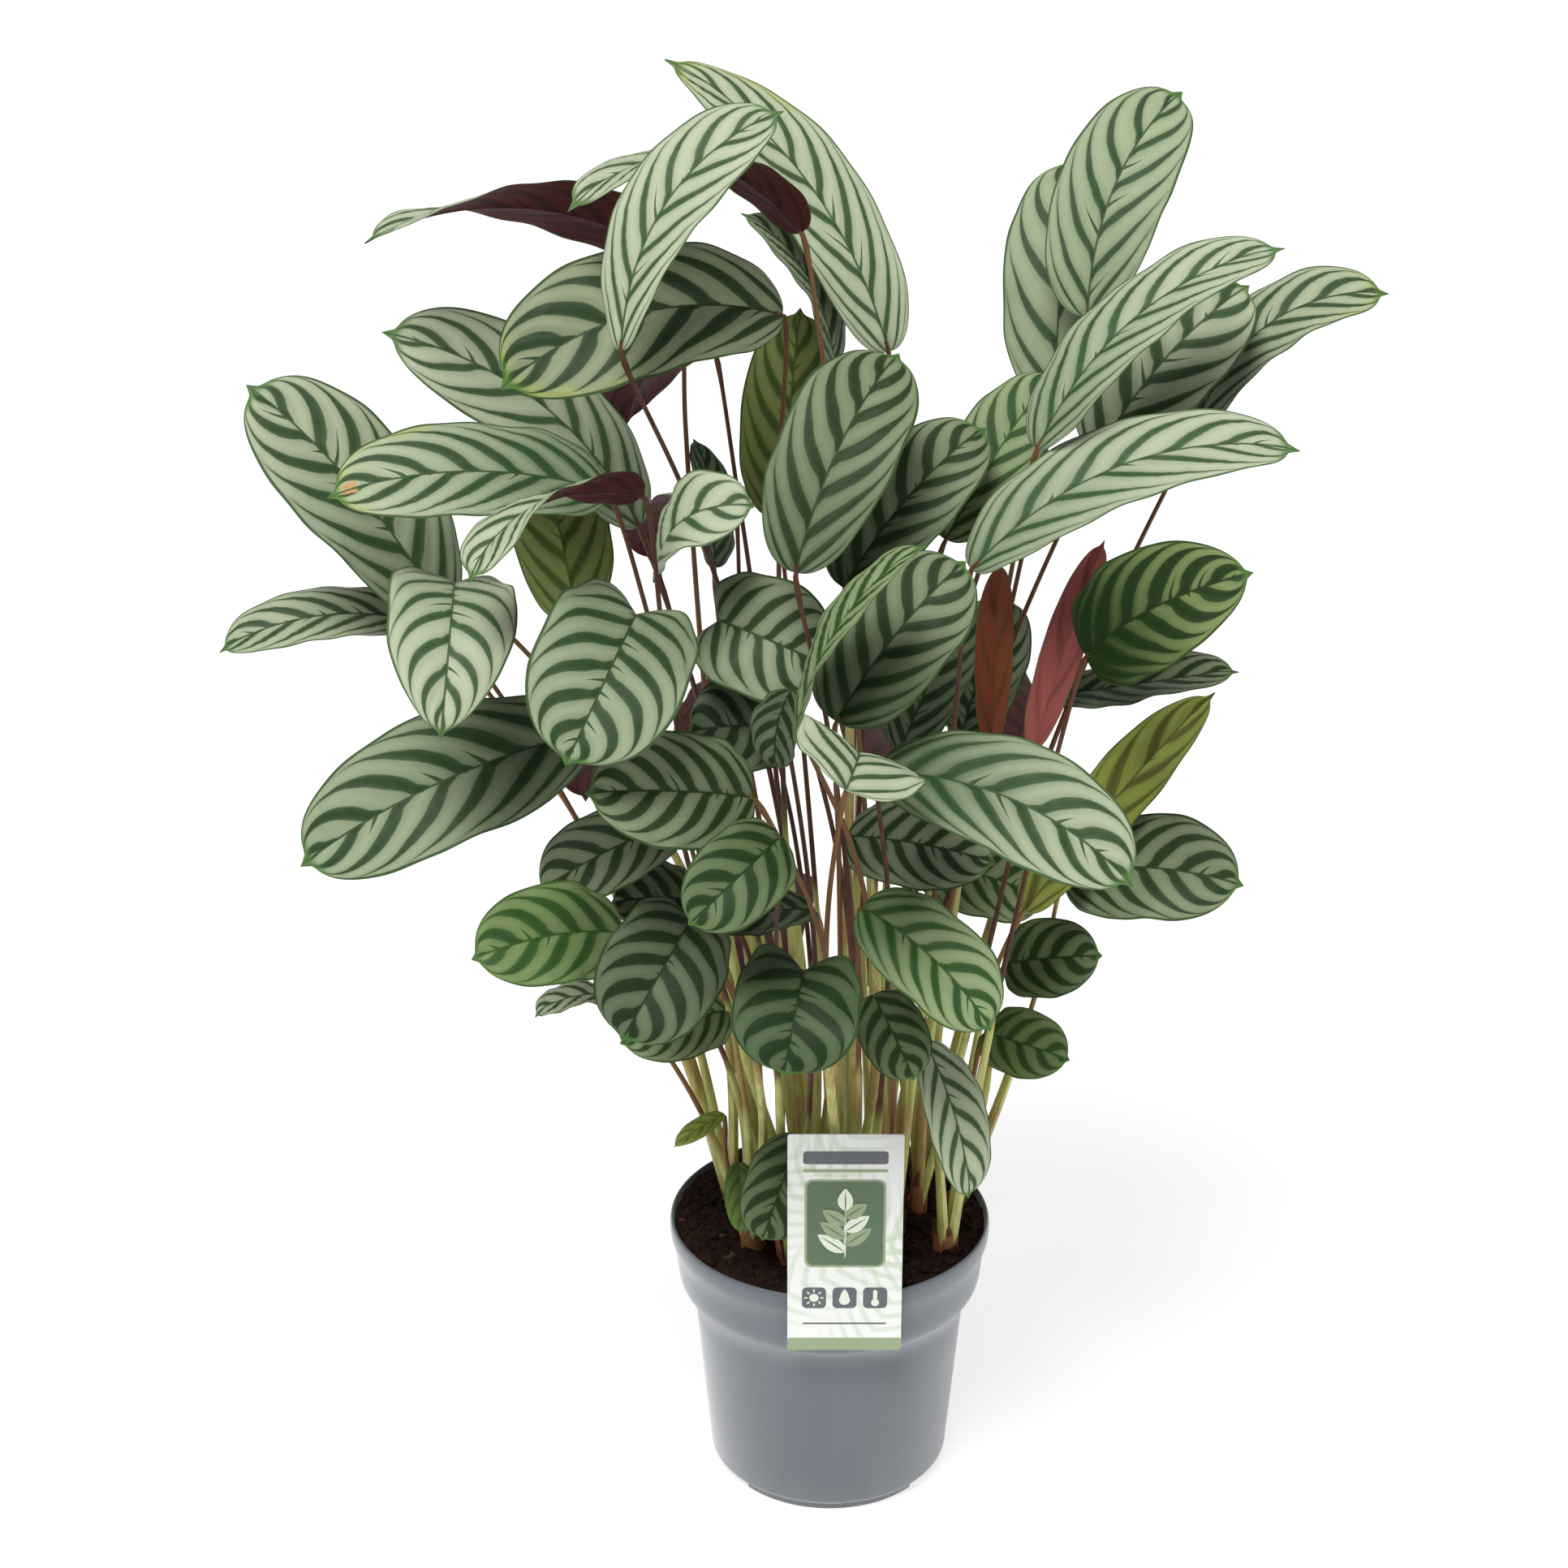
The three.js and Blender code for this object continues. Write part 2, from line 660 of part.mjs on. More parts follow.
function spotsOn(form) {
  const spots = [];
  for (let row = 1; row <= SPOT_ROWS; row += 1) {
    for (let s = -1; s <= 1; s += 0.25) spots.push(form.surface(row / SPOT_ROWS, s, 0));
  }
  return spots;
}

function spotsOnCard() {
  const spots = [];
  for (let x = -CARD_WIDTH / 2; x <= CARD_WIDTH / 2; x += CLEAR_OF_BLADES) {
    for (let z = 0; z <= CARD_HEIGHT; z += CLEAR_OF_BLADES) {
      spots.push(new THREE.Vector3(CARD_MIDDLE_X + x, CARD_BACK, CARD_BOTTOM + z));
    }
  }
  return spots;
}

function bowsToTry() {
  const bows = [[0, 0]];
  for (const reach of BOW_REACHES) {
    for (let i = 0; i < BOW_DIRECTIONS; i += 1) {
      const angle = (2 * Math.PI * i) / BOW_DIRECTIONS;
      bows.push([reach * Math.cos(angle), reach * Math.sin(angle)]);
    }
  }
  return bows;
}

// Every leaf with its blade's form, and its petiole led the least bowed way that keeps clear of the others
function growLeaves() {
  const leaves = [];
  for (const [shoot, { root, leaves: listed }] of Object.entries(SHOOTS)) {
    for (const leaf of Object.values(listed)) {
      const form = bladeForm(leaf);
      leaves.push({ ...leaf, shoot, root, form, spots: spotsOn(form) });
    }
  }
  const bows = bowsToTry();
  const cardSpots = spotsOnCard();
  const led = [];
  for (const leaf of leaves) {
    let best = Infinity;
    for (const bow of bows) {
      if (best === 0) break;
      const path = petiolePath(leaf.root, leaf.form, bow);
      const places = path.getSpacedPoints(Math.ceil(path.getLength() / PATH_STEP));
      const near = new THREE.Box3().setFromPoints(places).expandByScalar(CLEAR_OF_BLADES);
      const within = (points) => points.filter((point) => near.containsPoint(point));
      let crowded = crowding(places, within(cardSpots), CLEAR_OF_BLADES);
      for (const other of leaves) {
        if (other === leaf || crowded >= best) continue;
        crowded += crowding(places, within(other.spots), CLEAR_OF_BLADES);
      }
      for (const other of led) {
        const low = other.shoot === leaf.shoot ? PEAT_CROWN + CROWD_HEIGHT : 0;
        const theirs = within(other.places).filter((point) => point.z > low);
        if (crowded < best) crowded += crowding(places, theirs, CLEAR_OF_PETIOLES);
      }
      if (crowded < best) {
        best = crowded;
        Object.assign(leaf, { path, places });
      }
    }
    led.push(leaf);
  }
  return leaves;
}

// A tapered bar of few sides along a curve, made by bending a straight one
function petiole(path) {
  const steps = path.points.length - 1;
  const geometry = new THREE.CylinderGeometry(1, 1, 1, PETIOLE_SIDES, steps);
  const place = geometry.attributes.position;
  for (let i = 0; i < place.count; i += 1) {
    const t = place.getY(i) + 0.5;
    const centre = path.getPoint(t);
    const heading = path.getTangent(t);
    const across = heading.clone().cross(SIDEWAYS).normalize();
    const other = across.clone().cross(heading);
    const taper = Math.min(1, t / TAPER_SHARE);
    const radius = THREE.MathUtils.lerp(PETIOLE_FOOT_RADIUS, PETIOLE_TOP_RADIUS, taper);
    centre.addScaledVector(across, place.getX(i) * radius).addScaledVector(other, place.getZ(i) * radius);
    place.setXYZ(i, centre.x, centre.y, centre.z);
  }
  return solidOf(geometry);
}

function crown([x, y]) {
  const top = peatTop(x, y);
  return bar(x, y, top - HOLE_DEPTH, top + CROWN_RISE, CROWN_RADIUS, CROWN_RADIUS * 0.8, CROWN_SIDES);
}

const plant = new THREE.Group();
plant.add(meshOf("pot", pot(), COLOURS.pot));
plant.add(meshOf("peat", peat(), COLOURS.peat));
plant.add(meshOf("care_card", card(), COLOURS.card));
const grown = growLeaves();
for (const [name, { root }] of Object.entries(SHOOTS)) {
  let shoot = crown(root);
  for (const leaf of grown.filter((one) => one.shoot === name)) {
    shoot = shoot.add(petiole(leaf.path)).add(blade(leaf.form, leaf.width));
  }
  plant.add(meshOf(`shoot_${name}`, shoot, COLOURS.leaf));
}

export default plant;
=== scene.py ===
# A potted prayer plant: patterned blades on long petioles, in a nursery pot of peat with a plain care card.
# Sizes are worked out in millimetres, as in the solid model, and turned to metres where a mesh is made.
import functools
import math

import bmesh
import bpy
import numpy as np
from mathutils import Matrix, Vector, noise

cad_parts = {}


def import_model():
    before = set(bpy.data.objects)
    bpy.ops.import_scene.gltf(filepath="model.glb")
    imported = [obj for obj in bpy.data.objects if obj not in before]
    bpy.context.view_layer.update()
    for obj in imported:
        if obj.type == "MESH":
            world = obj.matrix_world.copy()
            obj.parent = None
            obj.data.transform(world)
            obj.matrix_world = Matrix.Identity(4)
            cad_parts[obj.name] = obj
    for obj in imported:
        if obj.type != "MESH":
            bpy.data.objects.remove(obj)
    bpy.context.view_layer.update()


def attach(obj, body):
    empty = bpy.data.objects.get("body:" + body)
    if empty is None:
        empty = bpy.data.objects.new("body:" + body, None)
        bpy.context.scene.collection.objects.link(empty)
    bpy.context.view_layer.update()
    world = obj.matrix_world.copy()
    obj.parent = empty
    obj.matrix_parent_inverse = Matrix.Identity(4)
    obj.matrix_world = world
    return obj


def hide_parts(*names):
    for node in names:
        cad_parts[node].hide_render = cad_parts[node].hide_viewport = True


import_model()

MM = 0.001
RANDOM = np.random.default_rng(71)

# The eye that the leaves are laid out for, which is the camera's too. Each leaf's base and tip are given as
# seen by it, in units of a square picture 1932 across, with how far behind the pot's axis they lie, in mm.
EYE = np.array([-30.0, -1550.0, 1097.0])
EYE_TILT = math.radians(21.6)
EYE_FOCAL = 3330
PICTURE_WIDTH = 1932
SENSOR_WIDTH = 36

# Pot, peat and card, as in the solid model
WALL_OUTLINE = [(79, 8), (88.8, 120), (93, 130.5), (99.2, 137.5), (101.2, 159)]
LIP_OUTLINE = [(104.6, 170), (105, 176), (104.5, 180), (103.4, 181), (102.4, 180.2), (101.8, 175)]
POT_HEIGHT = 181
RIM_RADIUS = 105
WALL = 1.8
BASE_RADIUS = 73.5
FOOT_HEIGHT = 4
FOOT_RING = (68.5, 73)
FOOT_SINK = 1.5
FOOT_SECTORS = 3
FOOT_GAP = 33
FLOOR_TOP = 7
DRAIN_HOLES = 6
DRAIN_RADIUS = 6
DRAIN_RING = 55
PAD_RADIUS = 16
GAP = 0.3
PEAT_RADIUS = WALL_OUTLINE[-1][0] - WALL - GAP
PEAT_EDGE = 174
PEAT_CROWN = 180
PEAT_LUMP = 1.3
CARD_WIDTH = 71
CARD_HEIGHT = 153
CARD_BOTTOM = 144
CARD_THICKNESS = 0.9
CARD_MIDDLE_X = 7.6
CARD_BACK = -(RIM_RADIUS + GAP)
HOOK_WIDTH = 20
HOOK_DEPTH = 22
HOOK_GAP = 8.6

# Leaves, as in the solid model
BLADE_THICKNESS = 0.9
FOLD = 0.34
CURL = 0.22
WAVE = 0.06
TIP_SHARE = 0.965
PETIOLE_SEGMENT = 100
PETIOLE_START = 3
FOOT_SPREAD = 3.6
LEAN_SHARE = 0.3
RISE_SHARE = 0.55
SIDEWAYS = np.array([0.31, 0.95, 0])
JOINT_SHARE = 0.03
CROWN_RADIUS = 8

# How petioles are led, as in the solid model: clear of blades and of each other by these, in mm
CLEAR_OF_BLADES = 8
CLEAR_OF_PETIOLES = 8.5
CROWD_HEIGHT = 60
SPOT_ROWS = 20
BOW_REACHES = (12, 24, 36, 48, 60, 72)
BOW_DIRECTIONS = 12
PATH_STEP = 6
CURVE_PARTS = 200


def leaf(base, tip, width, roll=0, arch=0, bend=0, **more):
    """One leaf: where its blade starts and ends, its width, how far it is rolled over, in degrees, and how
    far it is bowed up and sideways, in mm. more: what else shapes a blade, and its look."""
    given = dict(base=base, tip=tip, width=width, roll=roll, arch=arch, bend=bend)
    shape = dict(twist=0, lobe=0, sky=False, taper=0.12, point=0)
    # One of the look values is painted shade: it darkens the ground towards the blade's base, as deep
    # inside the plant, and lightens it below 0
    look = dict(look="plain", under="maroon", bands=6, deepen=0.35, yellow=0, scorch=0)
    return {**shape, **look, **given, **more}


SHOOTS = {
    "left_front": ((-50, -36), [
        leaf((768, 1150, -125), (581, 1182, -180), 62, 12, 8, 4, look="lime", bands=5, deepen=0.1),
        leaf((850, 1135, -150), (765, 1284, -205), 72, 0, 12, lobe=0.5, look="inner", bands=5),
        leaf((762, 1228, -60), (657, 1250, -80), 36, 62, 6, bands=4.5),
        leaf((910, 1432, -62), (918, 1521, -80), 22, 0, 3, look="young", bands=4),
        leaf((892, 1372, -40), (830, 1412, -62), 16, 20, 2, look="yellow", bands=4, taper=0.4, point=0.35),
        leaf((895, 1245, -95), (764, 1285, -140), 50, 15, 6, look="fresh"),
    ]),
    "left": ((-63, 22), [
        leaf((722, 903, -60), (368, 1068, -110), 84, 15, 14, 6, look="dusk", deepen=0.8),
        leaf((548, 758, -20), (303, 472, -5), 84, 18, 12, 5, taper=0.3, deepen=0.8),
        leaf((530, 770, 20), (268, 802, -10), 45, 42, 8, 8),
        leaf((860, 1110, -40), (752, 1112, -60), 50, 20, 6, look="inner", bands=4.5),
    ]),
    "left_back": ((-42, 50), [
        leaf((712, 765, 60), (655, 500, 95), 66, 172, 6, under="olive"),
        leaf((787, 648, 55), (470, 408, 20), 72, 20, 8, 20, look="pale", bands=6.5, taper=0.3, deepen=0.6),
        leaf((835, 318, 40), (447, 296, -5), 62, 112, 26, twist=-75, look="pale", taper=0.3),
    ]),
    "left_middle": ((-32, -8), [
        leaf((560, 718, -95), (543, 912, -180), 78, 0, 22, lobe=1.1, look="pale", point=0.5),
        leaf((748, 606, -60), (401, 612, -105), 66, 34, 8, 8, bands=6.5, scorch=1, yellow=0.8, deepen=0.9),
        leaf((792, 610, -130), (575, 716, -185), 52, 82, 14, 6, twist=-62, look="pale"),
        leaf((835, 1012, -62), (662, 1100, -95), 54, 22, 8, look="dark", bands=5),
    ]),
    "front_left": ((-26, -52), [
        leaf((990, 1196, -180), (965, 1327, -225), 74, 0, 10, lobe=1, look="shade", bands=4.5),
        leaf((962, 1030, -185), (847, 1141, -230), 52, 0, 10, look="green", bands=4.5),
        leaf((928, 983, -150), (720, 977, -195), 70, 14, 10, look="dark"),
        leaf((985, 1398, -84), (938, 1531, -93), 48, 0, 2, look="green", bands=4.5),
    ]),
    "centre_left": ((-12, -30), [
        leaf((784, 756, -140), (696, 944, -215), 88, 0, 16, lobe=1, look="dusk"),
        leaf((885, 764, -70), (1018, 820, -85), 74, 4, 10, lobe=0.7, look="dusk", bands=5),
        leaf((812, 708, -72), (932, 622, -96), 54, 50, 14, 6, twist=-30, look="pale", bands=4.5),
        leaf((965, 900, -65), (846, 902, -90), 62, 22, 8, look="inner", bands=4.5),
    ]),
    "centre": ((-6, 4), [
        leaf((765, 432, -90), (966, 134, -40), 60, 30, 8, 20, look="pale", bands=6.5, taper=0.55,
             deepen=0.1),
        leaf((965, 388, 0), (615, 480, -55), 88, 24, 10, 17, look="broad", taper=0.25, yellow=-0.7,
             deepen=-0.1),
        leaf((988, 287, -5), (697, 258, -45), 60, 92, 34, twist=-42, look="pale"),
        leaf((880, 700, -20), (858, 539, 10), 44, 55, 4, look="inner"),
    ]),
    "front_right": ((16, -64), [
        leaf((1062, 1118, -150), (1223, 1271, -190), 58, 15, 10, 4, look="fresh", deepen=0.8),
        leaf((1076, 1225, -115), (1127, 1332, -150), 42, 5, 6, look="green", bands=4.5),
        leaf((1084, 952, -135), (1398, 1093, -190), 74, 20, 10, 13, taper=0.25, deepen=1.1),
        leaf((1042, 974, -246), (1052, 932, -160), 80, -26, 10, sky=True, look="pale", bands=5, deepen=0),
    ]),
    "centre_front": ((8, -34), [
        leaf((1030, 889, -145), (1191, 689, -95), 70, 10, 8, 3, look="dark", deepen=0.9),
        leaf((983, 890, -165), (1140, 668, -170), 46, 70, 6, 6, look="fresh"),
        leaf((980, 706, -120), (1109, 432, -30), 74, 10, 10, 6, look="dark", taper=0.25, deepen=0.6),
        leaf((1005, 1122, -68), (877, 1148, -92), 46, 52, 6, look="inner", bands=4.5),
        leaf((975, 850, -112), (957, 949, -124), 38, 40, 6, look="inner", bands=4.5),
    ]),
    "centre_back": ((6, 36), [
        leaf((1095, 434, 60), (820, 69, 95), 60, 30, 8, 18, twist=50, look="pale", bands=7.5, yellow=1,
             deepen=0.1),
        leaf((960, 640, 60), (986, 378, 85), 62, 178, 6, under="olive"),
        leaf((1028, 456, 60), (915, 259, 75), 50, 66, 6, 8, look="dark"),
    ]),
    "right_front": ((74, -37), [
        leaf((1140, 1284, -95), (1196, 1478, -130), 46, 35, 8, look="pale", bands=5),
        leaf((1338, 808, -60), (1544, 705, -115), 76, 12, 10, 5, look="deep", deepen=1.4, point=0.3),
        leaf((1212, 1272, 0), (1318, 1306, -35), 46, 8, 5, look="lime", bands=4.5),
    ]),
    "right_inner": ((40, -22), [
        leaf((1197, 702, -70), (1604, 553, -45), 62, 38, 10, 20, look="pale", bands=6.5, deepen=0.6),
        leaf((1040, 725, -60), (1216, 524, 0), 64, 20, 8, 4, look="dark", deepen=0.9),
        leaf((1110, 925, -35), (1200, 735, 5), 50, 20, 6, look="inner"),
        leaf((1045, 1030, -45), (1228, 1063, -85), 62, 20, 8, look="dusk"),
    ]),
    "right": ((56, 8), [
        leaf((1278, 553, -35), (1584, 302, 5), 58, 46, 10, 15, look="pale", bands=6.5, deepen=0.6),
        leaf((1222, 916, -62), (1232, 690, -48), 24, 165, 3, under="rust", bands=3),
        leaf((1272, 922, -60), (1360, 664, -25), 27, 162, 4, under="pink", bands=3),
        leaf((1290, 858, 5), (1526, 824, -30), 54, 60, 6, -6, look="dark"),
    ]),
    "right_back": ((34, 34), [
        leaf((1340, 391, 45), (1458, 110, 130), 72, 10, 8, 14, look="thin", taper=0.2),
        leaf((1300, 500, 60), (1318, 191, 150), 72, 10, 8, look="thin", bands=5),
        leaf((1352, 560, 25), (1541, 349, 80), 74, 14, 8, 6, bands=5),
        leaf((1165, 665, -10), (1300, 455, 45), 56, 20, 6, look="fresh"),
    ]),
    "right_outer": ((82, 14), [
        leaf((1262, 1122, -50), (1496, 851, -5), 47, 150, 6, under="moss", bands=4.5),
        leaf((1312, 1078, 10), (1533, 1091, -45), 72, 14, 10, 5, look="dark"),
        leaf((1237, 1187, 20), (1358, 1177, -15), 53, 8, 6, look="green", bands=4.5),
    ]),
    "right_far": ((62, 52), [
        leaf((1470, 535, 75), (1713, 359, 95), 60, 40, 8, 22, taper=0.4, deepen=0.6, yellow=0.5),
        leaf((1185, 905, 20), (1240, 733, 65), 58, 10, 6, look="dark"),
        leaf((1130, 1060, 45), (1290, 1108, 40), 62, 20, 8, look="fresh"),
    ]),
    "back": ((-8, 74), [
        leaf((880, 432, 100), (770, 520, 215), 68, 0, 20, sky=True),
        leaf((930, 830, 115), (880, 990, 235), 72, 0, 22, sky=True),
        leaf((970, 1080, 110), (935, 1235, 200), 64, 0, 16, sky=True, look="fresh"),
    ]),
    "back_right": ((30, 76), [
        leaf((1120, 570, 95), (1235, 650, 215), 66, 0, 18, sky=True, look="pale"),
        leaf((1060, 880, 125), (1120, 1030, 250), 74, 0, 22, sky=True),
        leaf((1075, 1110, 105), (1100, 1245, 195), 60, 0, 14, sky=True, look="fresh"),
        leaf((1180, 800, 100), (1245, 930, 220), 60, 0, 16, sky=True),
    ]),
    "back_left": ((-46, 76), [
        leaf((905, 620, 105), (800, 690, 230), 70, 0, 20, sky=True),
        leaf((800, 880, 90), (720, 985, 205), 66, 0, 18, sky=True, look="pale"),
    ]),
}


def paint(red, green, blue):
    """A colour given as the eye sees it, 0 to 255, as the light-linear numbers that shaders use"""
    shares = np.array([red, green, blue]) / 255
    linear = np.where(shares <= 0.04045, shares / 12.92, ((shares + 0.055) / 1.055) ** 2.4)
    return (*linear.tolist(), 1.0)


# The upper face of a blade: the colours of its ground and of its bands, and the share that the bands take.
# The darker looks (dark, green, shade, inner) are partly the leaves' own tone and partly painted shade for
# leaves deep inside the plant.
LOOKS = {
    "plain": (paint(172, 183, 152), paint(40, 70, 34), 0.40),
    "pale": (paint(184, 194, 164), paint(48, 80, 42), 0.33),
    "thin": (paint(162, 175, 140), paint(38, 68, 36), 0.29),
    "broad": (paint(143, 154, 121), paint(30, 57, 26), 0.48),
    "dusk": (paint(152, 165, 133), paint(34, 63, 28), 0.42),
    "dark": (paint(130, 143, 111), paint(28, 53, 19), 0.46),
    "green": (paint(104, 121, 84), paint(26, 54, 16), 0.50),
    "shade": (paint(84, 101, 71), paint(22, 46, 14), 0.52),
    "inner": (paint(98, 111, 85), paint(20, 41, 13), 0.50),
    "fresh": (paint(146, 161, 119), paint(40, 76, 28), 0.42),
    "lime": (paint(118, 138, 88), paint(48, 82, 34), 0.48),
    "yellow": (paint(164, 178, 92), paint(124, 148, 60), 0.36),
    "deep": (paint(124, 142, 88), paint(24, 50, 14), 0.56),
    "young": (paint(102, 124, 60), paint(78, 104, 48), 0.40),
}

# The lower face, likewise
UNDERS = {
    "maroon": (paint(76, 34, 32), paint(54, 22, 24)),
    "olive": (paint(120, 132, 74), paint(62, 82, 30)),
    "moss": (paint(136, 148, 66), paint(88, 88, 32)),
    "rust": (paint(108, 54, 32), paint(98, 52, 28)),
    "pink": (paint(138, 74, 68), paint(130, 66, 62)),
}


# Meshes

END_REACH = 0.2


class Body:
    """Gathers closed forms into one mesh, with numbers kept at its points and on its faces"""

    def __init__(self):
        self.points = []
        self.faces = []
        self.materials = []
        self.at_points = {}
        self.on_faces = {}
        self.count = 0

    def add(self, points, faces, material=0, at_points=None, on_faces=None):
        """points in mm, and faces that index them. at_points and on_faces give numbers or colours by name,
        each as one value or an array."""
        for store, given, amount in (
            (self.at_points, at_points or {}, len(points)),
            (self.on_faces, on_faces or {}, len(faces)),
        ):
            for name, value in given.items():
                value = np.asarray(value, float)
                width = value.shape[-1:] if value.ndim and value.shape[-1] == 4 else ()
                store.setdefault(name, []).append(np.broadcast_to(value, (amount, *width)))
        self.points.append(np.asarray(points, float))
        self.faces += [tuple(self.count + corner for corner in face) for face in faces]
        self.materials += [material] * len(faces)
        self.count += len(points)

    def make(self, name, materials, sharp=55):
        mesh = bpy.data.meshes.new(name)
        mesh.from_pydata((np.concatenate(self.points) * MM).tolist(), [], self.faces)
        for material in materials:
            mesh.materials.append(material)
        mesh.polygons.foreach_set("material_index", self.materials)
        for domain, store in (("POINT", self.at_points), ("FACE", self.on_faces)):
            for key, parts in store.items():
                values = np.concatenate(parts)
                is_colour = values.ndim == 2
                made = mesh.attributes.new(key, "FLOAT_COLOR" if is_colour else "FLOAT", domain)
                made.data.foreach_set("color" if is_colour else "value", values.astype(np.float32).ravel())
        mesh.shade_smooth()
        mesh.set_sharp_from_angle(angle=math.radians(sharp))
        mesh.validate()
        piece = bpy.data.objects.new(name, mesh)
        bpy.context.scene.collection.objects.link(piece)
        return piece


def settle(piece, slot, *nodes):
    """The piece rides with the pot and stands for these nodes. The slot is not used."""
    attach(piece, "root")
    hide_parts(*nodes)


def unit(vector):
    return vector / np.linalg.norm(vector, axis=-1, keepdims=True)


def lerp(low, high, share):
    return low + (high - low) * share


def turn_by(angle):
    """What flat points are multiplied by to turn them by an angle"""
    return np.array([[math.cos(angle), math.sin(angle)], [-math.sin(angle), math.cos(angle)]])


def ramp(value, low, high):
    """0 below low, 1 above high, and smooth between"""
    share = np.clip((value - low) / (high - low), 0, 1)
    return share * share * (3 - 2 * share)


def around(sides):
    """The angles of a ring's points"""
    return 2 * math.pi * np.arange(sides) / sides


def ring_faces(rings, sides, is_capped=True):
    """Faces between rings of points, from each to the next. The ends are drawn to two points that are
    numbered after the rings, or else the last ring is joined to the first."""
    faces = []
    for ring in range(rings - is_capped):
        low, high = ring * sides, (ring + 1) % rings * sides
        for side in range(sides):
            beside = (side + 1) % sides
            faces.append((low + side, low + beside, high + beside, high + side))
    if is_capped:
        start, end = rings * sides, rings * sides + 1
        last = start - sides
        for side in range(sides):
            beside = (side + 1) % sides
            faces += [(start, beside, side), (end, last + side, last + beside)]
    return faces


def tube(centres, headings, radii, sides, ribs=None):
    """A closed tube along a line, its ends drawn to a point. ribs scales its radius by angle and row."""
    across = unit(np.cross(headings, SIDEWAYS))
    other = np.cross(across, headings)
    angle = around(sides)[None, :, None]
    rings = np.cos(angle) * across[:, None] + np.sin(angle) * other[:, None]
    reach = np.broadcast_to(np.asarray(radii)[:, None], (len(centres), sides))
    if ribs is not None:
        reach = reach * ribs(angle[0, :, 0])
    points = centres[:, None] + rings * reach[..., None]
    ends = np.array([centres[0] - headings[0] * END_REACH, centres[-1] + headings[-1] * END_REACH])
    return np.concatenate([points.reshape(-1, 3), ends]), ring_faces(len(centres), sides)


def sheet_grid(rows, columns):
    """Point numbers of the two sides of a thin closed sheet that share their edges and come to a point at
    both ends, and its triangles, those of the first side first. Both sides are cut along the same
    diagonals, so that neither shows through the other."""
    first = np.zeros((rows + 1, columns + 1), int)
    second = np.zeros((rows + 1, columns + 1), int)
    inner = (rows - 1) * (columns + 1)
    first[1:-1] = 1 + np.arange(inner).reshape(rows - 1, columns + 1)
    first[-1] = second[-1] = inner + 1
    second[1:-1] = first[1:-1]
    second[1:-1, 1:-1] = inner + 2 + np.arange((rows - 1) * (columns - 1)).reshape(rows - 1, columns - 1)
    faces = []
    for numbers, turn in ((first, 1), (second, -1)):
        for row in range(rows):
            for column in range(columns):
                near, beside = int(numbers[row, column]), int(numbers[row, column + 1])
                far, across = int(numbers[row + 1, column]), int(numbers[row + 1, column + 1])
                if row > 0:
                    faces.append((near, beside, across)[::turn])
                if row < rows - 1:
                    faces.append((near, across, far)[::turn])
    return first, second, faces


def sheet_points(first, second, upper, lower):
    """The points of such a sheet, from where the grids of its two sides lie"""
    points = np.zeros((second.max() + 1, 3))
    points[second.ravel()] = lower.reshape(-1, 3)
    points[first.ravel()] = upper.reshape(-1, 3)
    return points


# Blades

def seen_at(place):
    across, down, depth = place
    right = (across - PICTURE_WIDTH / 2) / EYE_FOCAL
    up = (PICTURE_WIDTH / 2 - down) / EYE_FOCAL
    ray = np.array([
        right,
        math.cos(EYE_TILT) + up * math.sin(EYE_TILT),
        -math.sin(EYE_TILT) + up * math.cos(EYE_TILT),
    ])
    return EYE + ray * (depth - EYE[1]) / ray[1]


def rounded_outline(t):
    """The blade's half width at a share t of its length without its tip, as a share of its greatest"""
    bulge = 1 - np.abs(2 * np.minimum(t / TIP_SHARE, 1) ** 0.87 - 1) ** 2.6
    return np.where(t < TIP_SHARE, np.sqrt(np.maximum(bulge, 0)), 0)


def outline(t):
    """The half width with its drip tip, as in the solid model"""
    return np.where(t < 0.8, rounded_outline(t), np.maximum(rounded_outline(t), 1.6 * (1 - t)))


def fine_outline(t, taper, point):
    """The half width with a drip tip that the blade runs out into, drawn in by the taper towards the base
    and by the point towards the tip"""
    tip = DRIP_TIP * (1 - t) * ramp(t, 0.82, 0.97)
    drawn_in = (1 - taper * (1 - t) ** 2) * (1 - point * t ** 3)
    return (rounded_outline(t) ** 4 + tip ** 4) ** 0.25 * drawn_in


